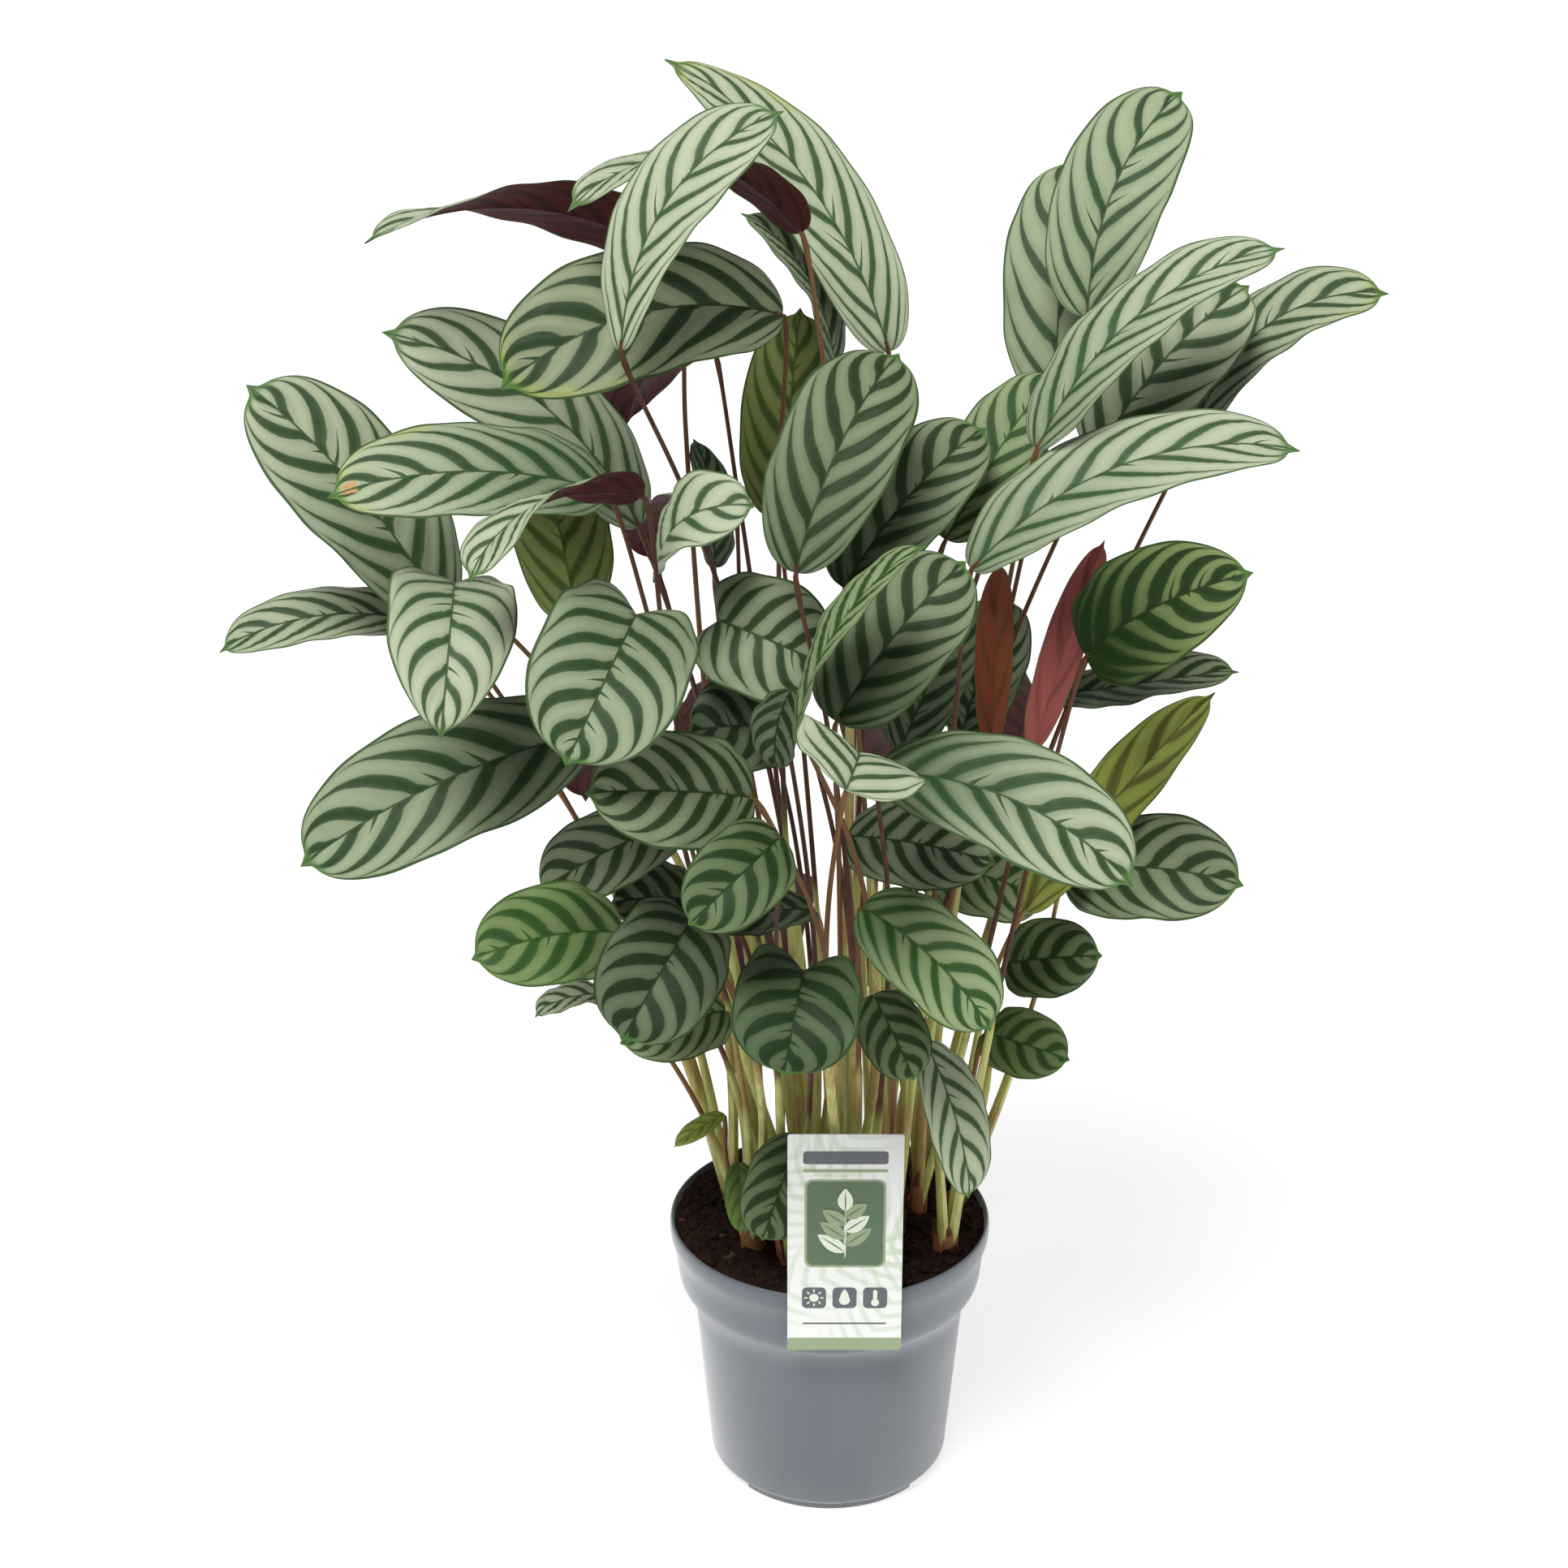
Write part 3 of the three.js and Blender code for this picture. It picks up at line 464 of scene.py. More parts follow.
class Form:
    """A blade's directions and the points of its surface, from where its base and tip are"""

    def __init__(self, leaf):
        self.leaf = leaf
        self.base = seen_at(leaf["base"])
        self.chord = seen_at(leaf["tip"]) - self.base
        self.length = float(np.linalg.norm(self.chord))
        along = unit(self.chord)
        reference = np.array([0, 0, 1.0]) if leaf["sky"] else unit(EYE - self.base)
        self.facing = unit(reference - along * reference.dot(along))
        self.rising = np.cross(along, self.facing) * (1 if along[0] < 0 else -1)
        arched = self.turned_by(leaf["roll"]) * leaf["arch"]
        self.bow = arched + self.rising * leaf["bend"]
        self.phase = leaf["base"][0] * 0.37 + leaf["base"][1] * 0.11

    def turned_by(self, degrees):
        angle = np.radians(degrees)
        return np.cos(angle)[..., None] * self.facing + np.sin(angle)[..., None] * self.rising

    def midrib(self, t):
        t = np.asarray(t, float)[..., None]
        return self.base + self.chord * t + self.bow * 4 * t * (1 - t)

    def surface(self, t, s, height=0.0, shape=outline, rounding=0.0):
        """At a share t of the length and s from -1 to 1 across, lifted by height along the normal. rounding
        turns the pointed shoulders of a heart-shaped base into round ones."""
        leaf = self.leaf
        heading = unit(self.chord + self.bow * (4 - 8 * t)[..., None])
        rolled = self.turned_by(leaf["roll"] + leaf["twist"] * (t - 0.5))
        normal = unit(rolled - (rolled * heading).sum(-1, keepdims=True) * heading)
        side = np.cross(heading, normal)
        half = shape(t) * leaf["width"] / 2
        wave = WAVE * np.sin(10 * t + self.phase + np.where(s > 0, 1.7, 0)) * s * s
        rise = half * (FOLD * np.abs(s) - CURL * s * s + wave)
        rounded = 1 + rounding * (0.5 - shape(t) ** 2)
        drawn_back = leaf["lobe"] * half * s * s * (1 - t) ** 3 * rounded
        return (self.midrib(t) + side * (s * half)[..., None] - heading * drawn_back[..., None]
                + normal * (rise + height)[..., None])


# How steeply side veins run towards the tip, and how closely they follow the margin in the end
VEIN_SWEEP = 0.2
VEIN_HUG = 0.91
DRIP_TIP = 2.9
PLEATS = 2
PLEAT_HEIGHT = 0.42
GROOVE_DEPTH = 0.5
RIB_HEIGHT = 1.1
RIB_WIDTH = 1.5
RIPPLE = 0.016
SWELL = 0.016
MARGIN_UNEVEN = 0.02
SHOULDER_ROUNDING = 0.6
TIP_DROOP = 3.0
MARGIN_THICKNESS = 0.35

# The mesh of a blade: the length of a row and the width of a pair of columns, in mm, and how few and how
# many of them there may be
ROW_LENGTH = 2.1
ROW_NUMBERS = (34, 80)
PAIR_WIDTH = 5.2
PAIR_NUMBERS = (6, 15)


def vein_start(t, a):
    """Where along the midrib the vein starts that runs through a point, a being how far out it lies"""
    return t + VEIN_SWEEP * np.log(1 - VEIN_HUG * a)


def blade(body, form, seed):
    """The blade as a thin closed sheet, grooved over the midrib, ribbed under it, pleated by its veins"""
    leaf = form.leaf
    rows = int(np.clip(form.length / ROW_LENGTH, *ROW_NUMBERS))
    columns = 2 * int(np.clip(leaf["width"] / PAIR_WIDTH, *PAIR_NUMBERS))
    first, second, faces = sheet_grid(rows, columns)
    share = np.arange(rows + 1) / rows
    t = lerp(share, (1 - np.cos(math.pi * share)) / 2, 0.8)[:, None] + np.zeros(columns + 1)
    even = np.linspace(-1, 1, columns + 1)
    s = (np.sign(even) * np.abs(even) ** 1.25)[None, :] + np.zeros((rows + 1, 1))
    a = np.abs(s)
    uneven = np.sin(11 * t + form.phase * 3 + 2 * np.sign(s)) + np.sin(19 * t + form.phase - np.sign(s))

    def shape(share):
        even_shape = fine_outline(share, leaf["taper"], leaf["point"])
        return even_shape * (1 + MARGIN_UNEVEN * (uneven - 1) * (1 - share))

    half = shape(t) * leaf["width"] / 2
    off_midrib = a * half

    turn = vein_start(t, a) * leaf["bands"] * PLEATS + np.where(s > 0, 0.5, 0) + seed
    fade = (1 - np.exp(-((off_midrib / 4) ** 2))) * (1 - a ** 4)
    fade = fade * ramp(t, 0.02, 0.12) * (1 - ramp(t, 0.9, 1))
    pleats = PLEAT_HEIGHT * np.sin(2 * math.pi * turn) * fade
    ripple = RIPPLE * np.sin(31 * t + form.phase + 2 * np.sign(s)) * a ** 5
    swell = SWELL * np.sin(15 * t + form.phase * 2 + 4 * np.sign(s)) * a ** 2
    droop = TIP_DROOP * ramp(t, 0.86, 1.06)
    common = pleats + (ripple + swell) * leaf["width"] * ramp(t, 0, 0.1) * (1 - t) ** 0.3 - droop
    thickness = lerp(BLADE_THICKNESS, MARGIN_THICKNESS, a * a) / 2
    ridge = np.exp(-((off_midrib / RIB_WIDTH) ** 2))
    upper_height = common + thickness - GROOVE_DEPTH * ridge * (1 - t)
    lower_height = common - thickness - RIB_HEIGHT * ridge * (1 - t) ** 0.7
    upper = form.surface(t, s, upper_height, shape, SHOULDER_ROUNDING)
    lower = form.surface(t, s, lower_height, shape, SHOULDER_ROUNDING)

    points = sheet_points(first, second, upper, lower)
    rim = (upper + lower) / 2
    for column in (0, columns):
        points[first[1:-1, column]] = rim[1:-1, column]
    numbers = {name: np.zeros(len(points)) for name in ("along", "across", "half_width")}
    for numbered, value in zip(numbers.values(), (t, s, half)):
        numbered[second.ravel()] = numbered[first.ravel()] = value.ravel()

    ground, stripe, band_share = LOOKS[leaf["look"]]
    under_ground, under_stripe = UNDERS[leaf["under"]]
    is_upper = np.arange(len(faces)) < len(faces) / 2
    body.add(points, faces, 0, numbers, {
        "ground": np.where(is_upper[:, None], ground, under_ground),
        "stripe": np.where(is_upper[:, None], stripe, under_stripe),
        "upper": is_upper,
        "band_share": band_share,
        "seed": seed,
        **{name: leaf[name] for name in ("bands", "deepen", "yellow", "scorch")},
    })


# Petioles

def peat_top(x, y):
    """The height of the peat's loose top surface, as in the solid model"""
    reach = np.minimum(1, np.hypot(x, y) / PEAT_RADIUS)
    lumps = np.sin(x * 0.11 + 1) * np.cos(y * 0.13) + 0.7 * np.sin(x * 0.23 - y * 0.19)
    return PEAT_EDGE + (PEAT_CROWN - PEAT_EDGE) * (1 - reach ** 2) + PEAT_LUMP * lumps * (1 - reach ** 6)


class Curve:
    """A smooth curve through points, which turns less sharply where they lie close: a centripetal one"""

    def __init__(self, points):
        first = 2 * points[0] - points[1]
        last = 2 * points[-1] - points[-2]
        self.points = np.array([first, *points, last])
        self.parts = len(points) - 1
        shares = np.linspace(0, 1, CURVE_PARTS + 1)
        steps = np.linalg.norm(np.diff(self.at(shares), axis=0), axis=1)
        self.lengths = np.concatenate([[0], np.cumsum(steps)])
        self.length = self.lengths[-1]

    def at(self, shares):
        """The points at these shares of the curve's parts"""
        place = np.asarray(shares, float) * self.parts
        part = np.minimum(place.astype(int), self.parts - 1)
        weight = (place - part)[..., None]
        p0, p1, p2, p3 = (self.points[part + i] for i in range(4))
        d0, d1, d2 = (
            ((b - a) ** 2).sum(-1, keepdims=True) ** 0.25 for a, b in ((p0, p1), (p1, p2), (p2, p3))
        )
        start = ((p1 - p0) / d0 - (p2 - p0) / (d0 + d1) + (p2 - p1) / d1) * d1
        end = ((p2 - p1) / d1 - (p3 - p1) / (d1 + d2) + (p3 - p2) / d2) * d1
        cubic = 2 * p1 - 2 * p2 + start + end
        square = -3 * p1 + 3 * p2 - 2 * start - end
        return p1 + weight * (start + weight * (square + weight * cubic))

    def spaced(self, parts):
        """Points at even distances along the curve"""
        wanted = self.length * np.arange(parts + 1) / parts
        return self.at(np.interp(wanted, self.lengths, np.linspace(0, 1, CURVE_PARTS + 1)))


def petiole_path(root, form, bow):
    """Steep out of the crown, leaning out towards the blade, then just into its base"""
    start = np.array([*root, peat_top(*root) + PETIOLE_START])
    reach = form.base - start
    level = np.array([reach[0], reach[1], 0])
    foot = start + unit(level) * FOOT_SPREAD
    lean = np.array([LEAN_SHARE * reach[0], LEAN_SHARE * reach[1], RISE_SHARE * reach[2]])
    control = foot + lean + np.array([*bow, 0])
    steps = max(3, round(float(np.linalg.norm(reach)) / PETIOLE_SEGMENT))
    shares = np.linspace(0, 1, steps + 1)[:, None]
    rise = (1 - shares) ** 2 * foot + 2 * shares * (1 - shares) * control + shares ** 2 * form.base
    return Curve([*rise, form.midrib(JOINT_SHARE)])


def crowding(places, points, wanted):
    """How far the nearest of the points comes inside the wanted distance of the places, or 0"""
    if not len(points):
        return 0
    nearest = ((places[:, None] - points) ** 2).sum(-1).min()
    return wanted - math.sqrt(min(nearest, wanted * wanted))


def grow():
    """Every leaf with its form, its petiole led the least bowed way that keeps clear of the others"""
    leaves = [
        {"shoot": shoot, "root": root, "form": Form(leaf)}
        for shoot, (root, listed) in SHOOTS.items()
        for leaf in listed
    ]
    t, s = np.meshgrid(np.arange(1, SPOT_ROWS + 1) / SPOT_ROWS, np.arange(-1, 1.01, 0.25), indexing="ij")
    spots = np.array([one["form"].surface(t.ravel(), s.ravel()) for one in leaves])
    card = np.array([
        (CARD_MIDDLE_X + x, CARD_BACK, CARD_BOTTOM + z)
        for x in np.arange(-CARD_WIDTH / 2, CARD_WIDTH / 2 + 0.01, CLEAR_OF_BLADES)
        for z in np.arange(0, CARD_HEIGHT + 0.01, CLEAR_OF_BLADES)
    ])
    bows = [(0.0, 0.0)] + [
        (reach * math.cos(turn), reach * math.sin(turn))
        for reach in BOW_REACHES for turn in around(BOW_DIRECTIONS)
    ]
    for number, one in enumerate(leaves):
        best = math.inf
        for bow in bows:
            path = petiole_path(one["root"], one["form"], bow)
            places = path.spaced(math.ceil(path.length / PATH_STEP))
            low = places.min(0) - CLEAR_OF_BLADES
            high = places.max(0) + CLEAR_OF_BLADES

            def near(points):
                return points[((points >= low) & (points <= high)).all(-1)]

            crowded = crowding(places, near(card), CLEAR_OF_BLADES)
            for other in range(len(leaves)):
                if other != number and crowded < best:
                    crowded += crowding(places, near(spots[other]), CLEAR_OF_BLADES)
            for other in leaves[:number]:
                floor = PEAT_CROWN + CROWD_HEIGHT if other["shoot"] == one["shoot"] else 0
                theirs = near(other["places"])
                if crowded < best:
                    crowded += crowding(places, theirs[theirs[:, 2] > floor], CLEAR_OF_PETIOLES)
            if crowded < best:
                best = crowded
                one.update(path=path, places=places)
            if best == 0:
                break
    return leaves


# Petioles as they look. They share a mesh with blades, so their faces say that they have no markings.
NO_MARKINGS = {"upper": 0, "bands": 0, "band_share": 0, "deepen": 0, "yellow": 0, "scorch": 0}
PETIOLE_SIDES = 12
PETIOLE_ROW = 7
FEWEST_ROWS = 24
SHEATH_OVAL = 0.14
SHEATH_RIBS = 0.05
SHEATH_RADII = (3.7, 2.4)
SHEATH_END = (0.34, 0.56)
SHEATH_STEP = 0.01
STALK_RADII = (1.75, 1.3)
KNEE_RADIUS = 1.9
KNEE_LENGTH = 15
KNEE_SPREAD = 8.25
JOINT_RADIUS = 1.0
JOINT_LENGTH = 6
TALL = 430
SHEATH_COLOUR = paint(200, 202, 124)
STALK_COLOURS = {
    "tall": (paint(70, 40, 28), paint(118, 82, 46)),
    "short": (paint(124, 84, 50), paint(160, 140, 76)),
}


def petiole(body, path, seed):
    """A sheath that narrows upwards and ends in a small step, then a thin stalk with a swollen knee"""
    rows = max(FEWEST_ROWS, round(path.length / PETIOLE_ROW))
    shares = np.linspace(0, 1, rows + 1)
    centres = path.spaced(rows)
    headings = unit(np.gradient(centres, axis=0))
    sheath_end = lerp(*SHEATH_END, seed)
    sheath = lerp(*SHEATH_RADII, np.minimum(1, shares / sheath_end) ** 0.8)
    stalk = lerp(*STALK_RADII, np.clip((shares - sheath_end) / (1 - sheath_end), 0, 1))
    radii = lerp(sheath, stalk, ramp(shares, sheath_end - SHEATH_STEP, sheath_end + SHEATH_STEP))
    left = path.length * (1 - shares)
    radii = lerp(radii, KNEE_RADIUS, np.exp(-(((left - KNEE_LENGTH) / KNEE_SPREAD) ** 2)))
    radii = lerp(radii, JOINT_RADIUS, 1 - ramp(left, 0, JOINT_LENGTH))
    flat = (1 - ramp(shares, sheath_end - 0.1, sheath_end + 0.05))[:, None]

    def ribs(angle):
        oval = 1 + flat * SHEATH_OVAL * np.cos(2 * angle + seed * 6)
        return oval * (1 + flat * SHEATH_RIBS * np.cos(6 * angle))

    points, faces = tube(centres, headings, radii, PETIOLE_SIDES, ribs)
    along = np.concatenate([np.repeat(shares, PETIOLE_SIDES), [0, 1]])
    dark, light = STALK_COLOURS["tall" if centres[-1, 2] > TALL else "short"]
    stalk_colour = lerp(np.array(dark), np.array(light), seed * seed)
    colours = {"ground": SHEATH_COLOUR, "stripe": stalk_colour}
    body.add(points, faces, 1, {"along": along, "across": sheath_end, "half_width": 0},
             {**NO_MARKINGS, **colours, "seed": seed})


# The crown's rings, as heights above the peat in mm and shares of its radius
CROWN_PROFILE = [(-12, 1.0), (-6, 1.02), (0, 1.0), (4, 0.94), (8, 0.8), (11, 0.5), (12.5, 0.2)]
CROWN_SIDES = 24
CROWN_RIBS = 0.09
SCALES = 5
SCALE_GRID = (14, 8)
SCALE_HEIGHTS = (16, 38)
SCALE_WIDTH = 10
SCALE_LEAN = 0.16
SCALE_THICKNESS = 0.5
SCALE_SINK = 6
SCALE_CLOSING = 2.5
SCALE_COLOURS = (paint(136, 92, 62), paint(92, 56, 40))


def crown(body, root, seed):
    """The knuckle that a shoot's petioles rise from, wrapped in pointed papery scales"""
    foot = np.array([*root, peat_top(*root)])
    levels, reaches = np.array(CROWN_PROFILE).T
    upwards = np.tile([0, 0, 1.0], (len(levels), 1))

    def ribs(angle):
        return 1 + CROWN_RIBS * np.cos(7 * angle + seed)

    centres = foot + levels[:, None] * upwards
    points, faces = tube(centres, upwards, reaches * CROWN_RADIUS, CROWN_SIDES, ribs)
    finish = {**NO_MARKINGS, "ground": SCALE_COLOURS[0], "stripe": SCALE_COLOURS[1], "seed": seed}
    body.add(points, faces, 1, {"along": 0.1, "across": 0.3, "half_width": 0}, finish)

    rows, columns = SCALE_GRID
    first, second, faces = sheet_grid(rows, columns)
    share = np.linspace(0, 1, rows + 1)[:, None] + np.zeros(columns + 1)
    s = np.linspace(-1, 1, columns + 1)[None, :] + np.zeros((rows + 1, 1))
    narrowing = np.sqrt(1 - share) * np.clip(share * 12, 0, 1)
    for i in range(SCALES):
        height = RANDOM.uniform(*SCALE_HEIGHTS)
        middle = 2 * math.pi * (i + RANDOM.uniform(-0.2, 0.2)) / SCALES
        angle = middle + s * narrowing * SCALE_WIDTH / 2 / CROWN_RADIUS
        lean = SCALE_LEAN * RANDOM.uniform(0.2, 1.6) * height
        level = (height + SCALE_SINK) * share - SCALE_SINK
        sides = []
        for thickness in (SCALE_THICKNESS, -SCALE_THICKNESS):
            wrapped = CROWN_RADIUS + SCALE_THICKNESS + thickness / 2 * (1 - s * s)
            radius = wrapped + lean * share ** 1.5 - SCALE_CLOSING * share
            sides.append(foot + np.stack([radius * np.cos(angle), radius * np.sin(angle), level], -1))
        points = sheet_points(first, second, *sides)
        along = np.zeros(len(points))
        along[second.ravel()] = along[first.ravel()] = share.ravel()
        body.add(points, faces, 1, {"along": along, "across": 0.7, "half_width": 0}, finish)


# Materials

def operator(operation, is_swapped=False):
    """What a sign does to a field, and to the value on its other side"""
    def method(field, *other):
        values = (*other, field) if is_swapped else (field, *other)
        return field.graph.maths(operation, *values)
    return method


class Field:
    """A number or colour that varies over a surface, for writing a material as plain arithmetic"""

    def __init__(self, graph, socket):
        self.graph = graph
        self.socket = socket

    __add__ = __radd__ = operator("ADD")
    __sub__ = operator("SUBTRACT")
    __rsub__ = operator("SUBTRACT", is_swapped=True)
    __mul__ = __rmul__ = operator("MULTIPLY")
    __truediv__ = operator("DIVIDE")
    __pow__ = operator("POWER")
    __abs__ = operator("ABSOLUTE")


class Graph:
    """The nodes of one material, or of the world"""

    def __init__(self, owner):
        owner.use_nodes = True
        self.tree = owner.node_tree
        self.owner = owner

    def add(self, kind, inputs, output=0, **settings):
        node = self.tree.nodes.new(kind)
        for name, value in settings.items():
            setattr(node, name, value)
        for name, value in inputs.items():
            self.set(node.inputs[name], value)
        return Field(self, node.outputs[output])

    def set(self, socket, value):
        if isinstance(value, Field):
            self.tree.links.new(value.socket, socket)
        else:
            socket.default_value = value

    def maths(self, operation, *values):
        return self.add("ShaderNodeMath", dict(enumerate(values)), operation=operation)

    def most(self, *values):
        """The highest of these values"""
        return functools.reduce(lambda first, second: self.maths("MAXIMUM", first, second), values)

    def step(self, value, low, high):
        """0 below low, 1 above high, and smooth between"""
        inputs = {"Value": value, "From Min": low, "From Max": high}
        return self.add("ShaderNodeMapRange", inputs, interpolation_type="SMOOTHSTEP")

    def mix(self, share, first, second):
        return self.add("ShaderNodeMix", {0: share, 6: first, 7: second}, output=2, data_type="RGBA")

    def attribute(self, name, colour=False):
        return self.add("ShaderNodeAttribute", {}, output=0 if colour else 2, attribute_name=name)

    def place(self, stretch=(1, 1, 1)):
        """Where a point is, in the piece's own space, in metres times stretch"""
        coordinates = self.add("ShaderNodeTexCoord", {}, output="Object")
        return self.add("ShaderNodeVectorMath", {0: coordinates, 1: stretch}, operation="MULTIPLY")

    def noise(self, scale, detail=3, stretch=(1, 1, 1)):
        inputs = {"Vector": self.place(stretch), "Scale": scale, "Detail": detail}
        return self.add("ShaderNodeTexNoise", inputs)

    def split(self, vector, axis):
        return self.add("ShaderNodeSeparateXYZ", {0: vector}, output=axis)

    def reach(self, position):
        """How far a point lies from the upright axis, and its height"""
        x, y = self.split(position, 0), self.split(position, 1)
        return (x * x + y * y) ** 0.5, self.split(position, 2)

    def random(self, value):
        """A number from 0 to 1 that only this value gives"""
        return self.add("ShaderNodeTexWhiteNoise", {"W": value}, noise_dimensions="1D")

    def shade(self, colour, roughness, height=None, distance=0.001, strength=1.0, plain=None):
        """The surface's colour, roughness and relief, and the shader's own plain values"""
        shader = self.tree.nodes["Principled BSDF"]
        self.set(shader.inputs["Base Color"], colour)
        self.set(shader.inputs["Roughness"], roughness)
        if height is not None:
            inputs = {"Height": height, "Distance": distance, "Strength": strength}
            self.set(shader.inputs["Normal"], self.add("ShaderNodeBump", inputs))
        for name, value in (plain or {}).items():
            shader.inputs[name].default_value = value
        return self.owner


def material(name):
    return Graph(bpy.data.materials.new(name))


DEEP_GREEN = paint(15, 36, 13)
RIM_GREEN = paint(58, 84, 46)
TIP_GREEN = paint(74, 112, 50)
YELLOWED = paint(168, 178, 84)
SCORCHED = (paint(172, 118, 70), paint(206, 170, 118))

# A line between the two sides of the pot's wall by its lip, in metres: a place on it, and how far it leans
# outwards. What lies inside it is painted dark, as painted shade inside the lip.
LIP_FOOT = (0.1003, 0.159)
LIP_LEAN = 0.13


def blade_material():
    """Bands that sweep from the midrib to the margin, between fine veins, on a paler ground"""
    g = material("leaf_blade")
    along = g.attribute("along")
    across = g.attribute("across")
    seed = g.attribute("seed")
    upper = g.attribute("upper")
    out = abs(across)
    side = g.step(across, -0.001, 0.001)
    off_midrib = out * g.attribute("half_width")

    # Where on the midrib the vein through this point starts, a little uneven, and which band it is in
    start = along + g.maths("LOGARITHM", 1 - out * VEIN_HUG, math.e) * VEIN_SWEEP
    uneven = (g.noise(20, 2) - 0.5) * 0.08 + (g.noise(150, 2) - 0.5) * 0.002
    turn = (start + uneven) * g.attribute("bands") + side * 0.4 + seed * 5
    share = g.maths("FRACT", turn)
    number = g.maths("FLOOR", turn) + side * 17 + seed * 31
    from_middle = abs(share - 0.5) * 2
    band_end = g.random(number) * 0.1 + 0.93
    chance = g.random(g.maths("FLOOR", turn + 0.5) + side * 23 + seed * 11)
    spike_end = g.step(chance, 0.5, 1.0) * 0.4 + 0.03

    # The bands: drawn to a point by the margin, and running down into the midrib on their base side
    taper = 1 - g.step(out - band_end, -0.42, 0)
    run_down = (1 - g.step(out, 0, 0.13)) * (1 - g.step(share, 0.46, 0.54)) * 0.3
    narrowed = g.step(out, 0, 0.3) * 0.3 + 0.7
    width = g.attribute("band_share") * narrowed * (taper * 0.8 + 0.2) + run_down
    edge_softness = g.noise(300, 2) * 0.06 + 0.05
    band = g.step((width - from_middle) / edge_softness, -1, 1) * g.step(taper, 0, 0.12)
    core = g.step(width - from_middle, 0.04, 0.4)
    halo = g.step(width - from_middle, -0.55, -0.02)
    spike = g.step((1 - out / spike_end) * 0.13 - (1 - from_middle), -0.02, 0.03)
    midrib = 1 - g.step(off_midrib, 0.35, 0.9)
    margin = g.step(out + g.step(along, 0.2, 0.95) * 0.025, 0.955, 0.985)
    base = 1 - g.step(along + out * 0.04, 0.01, 0.07)
    dark = g.most(band, spike, midrib, margin, base * 0.5)

    # Ground with fine veins, soft mottling and painted shade towards the base, then bands, greener tip and
    # edge, and old or scorched places
    fine = g.maths("SINE", turn * (2 * math.pi * 13))
    mottled = g.noise(45, 4)
    ground = g.attribute("ground", colour=True)
    # Painted shade: each leaf's ground is darkened towards its base, as where leaves lie deep in the plant;
    # a value below 0 lightens it instead
    deepened = (1 - g.step(along + mottled * 0.2, 0.1, 0.95)) * g.attribute("deepen") * 0.6
    greyed = fine * 0.025 + halo * 0.16 + mottled * 0.22 + deepened
    shaded = g.mix(greyed, ground, g.attribute("stripe", colour=True))
    ageing = g.attribute("yellow")
    aged_side = g.step(across * ageing, -0.001, 0.001)
    by_margin = g.step(along * 0.5 + out * 0.7 + mottled * 0.5, 1.15, 1.4) * aged_side
    by_tip = g.step(along + out * 0.08 + mottled * 0.12, 0.95, 1.08)
    yellow = abs(ageing) * g.most(by_margin, by_tip) * upper
    shaded = g.mix(yellow * 0.7, shaded, YELLOWED)
    depth = 0.98 - g.noise(160, 2) * 0.14
    coloured = g.mix(dark * depth, shaded, g.attribute("stripe", colour=True))
    coloured = g.mix(core * band * 0.3, coloured, DEEP_GREEN)
    edge = g.step(along + out * 0.03, 0.94, 0.975) * upper * 0.8 + g.step(out, 0.95, 1.0) * upper * 0.3
    coloured = g.mix(g.maths("MINIMUM", edge, 1), coloured, TIP_GREEN)
    slit = g.step(g.noise(40, 2) * 0.3 + out, 0.16, 0.2)
    slit = slit * (1 - g.step(g.noise(60, 2) * 0.3 + out, 0.36, 0.42))
    spot = slit * g.step(along, 0.885, 0.9) * (1 - g.step(along + mottled * 0.03, 0.95, 0.965))
    spot = spot * g.attribute("scorch") * upper
    coloured = g.mix(spot, coloured, g.mix(g.noise(300, 2), *SCORCHED))
    coloured = g.mix(g.step(out, 0.95, 0.975) * (1 - upper), coloured, RIM_GREEN)

    relief = fine * 0.09 + g.noise(900, 2) * 0.4 + band * 0.2
    roughness = g.noise(120, 2) * 0.16 + 0.56 - upper * 0.1
    return g.shade(coloured, roughness, relief, distance=0.00022, strength=0.6,
                   plain={"Specular IOR Level": 0.17})


def stem_material():
    """Sheaths of yellow green with brown streaks below, and a darker stalk above where the sheath ends"""
    g = material("leaf_stalk")
    along = g.attribute("along")
    seed = g.attribute("seed")
    sheath_end = g.attribute("across")
    streaks = g.noise(420, 3, stretch=(1, 1, 0.05))
    patches = g.noise(22, 2)
    streaked = g.step(streaks, 0.35, 0.8) * 0.5
    sheath = g.mix(streaked, g.attribute("ground", colour=True), paint(144, 152, 68))
    blush = g.step(patches + streaks * 0.3 + seed * 0.25, 0.74, 1.05)
    sheath = g.mix(blush * 0.6, sheath, paint(160, 100, 68))
    stalk = g.mix(streaked, g.attribute("stripe", colour=True), paint(112, 70, 40))
    where = g.step(along - sheath_end + (patches - 0.5) * 0.16, -0.03, 0.05)
    coloured = g.mix(where, sheath, stalk)
    return g.shade(coloured, patches * 0.15 + 0.42, streaks, distance=0.0004, strength=0.5,
                   plain={"Specular IOR Level": 0.25})


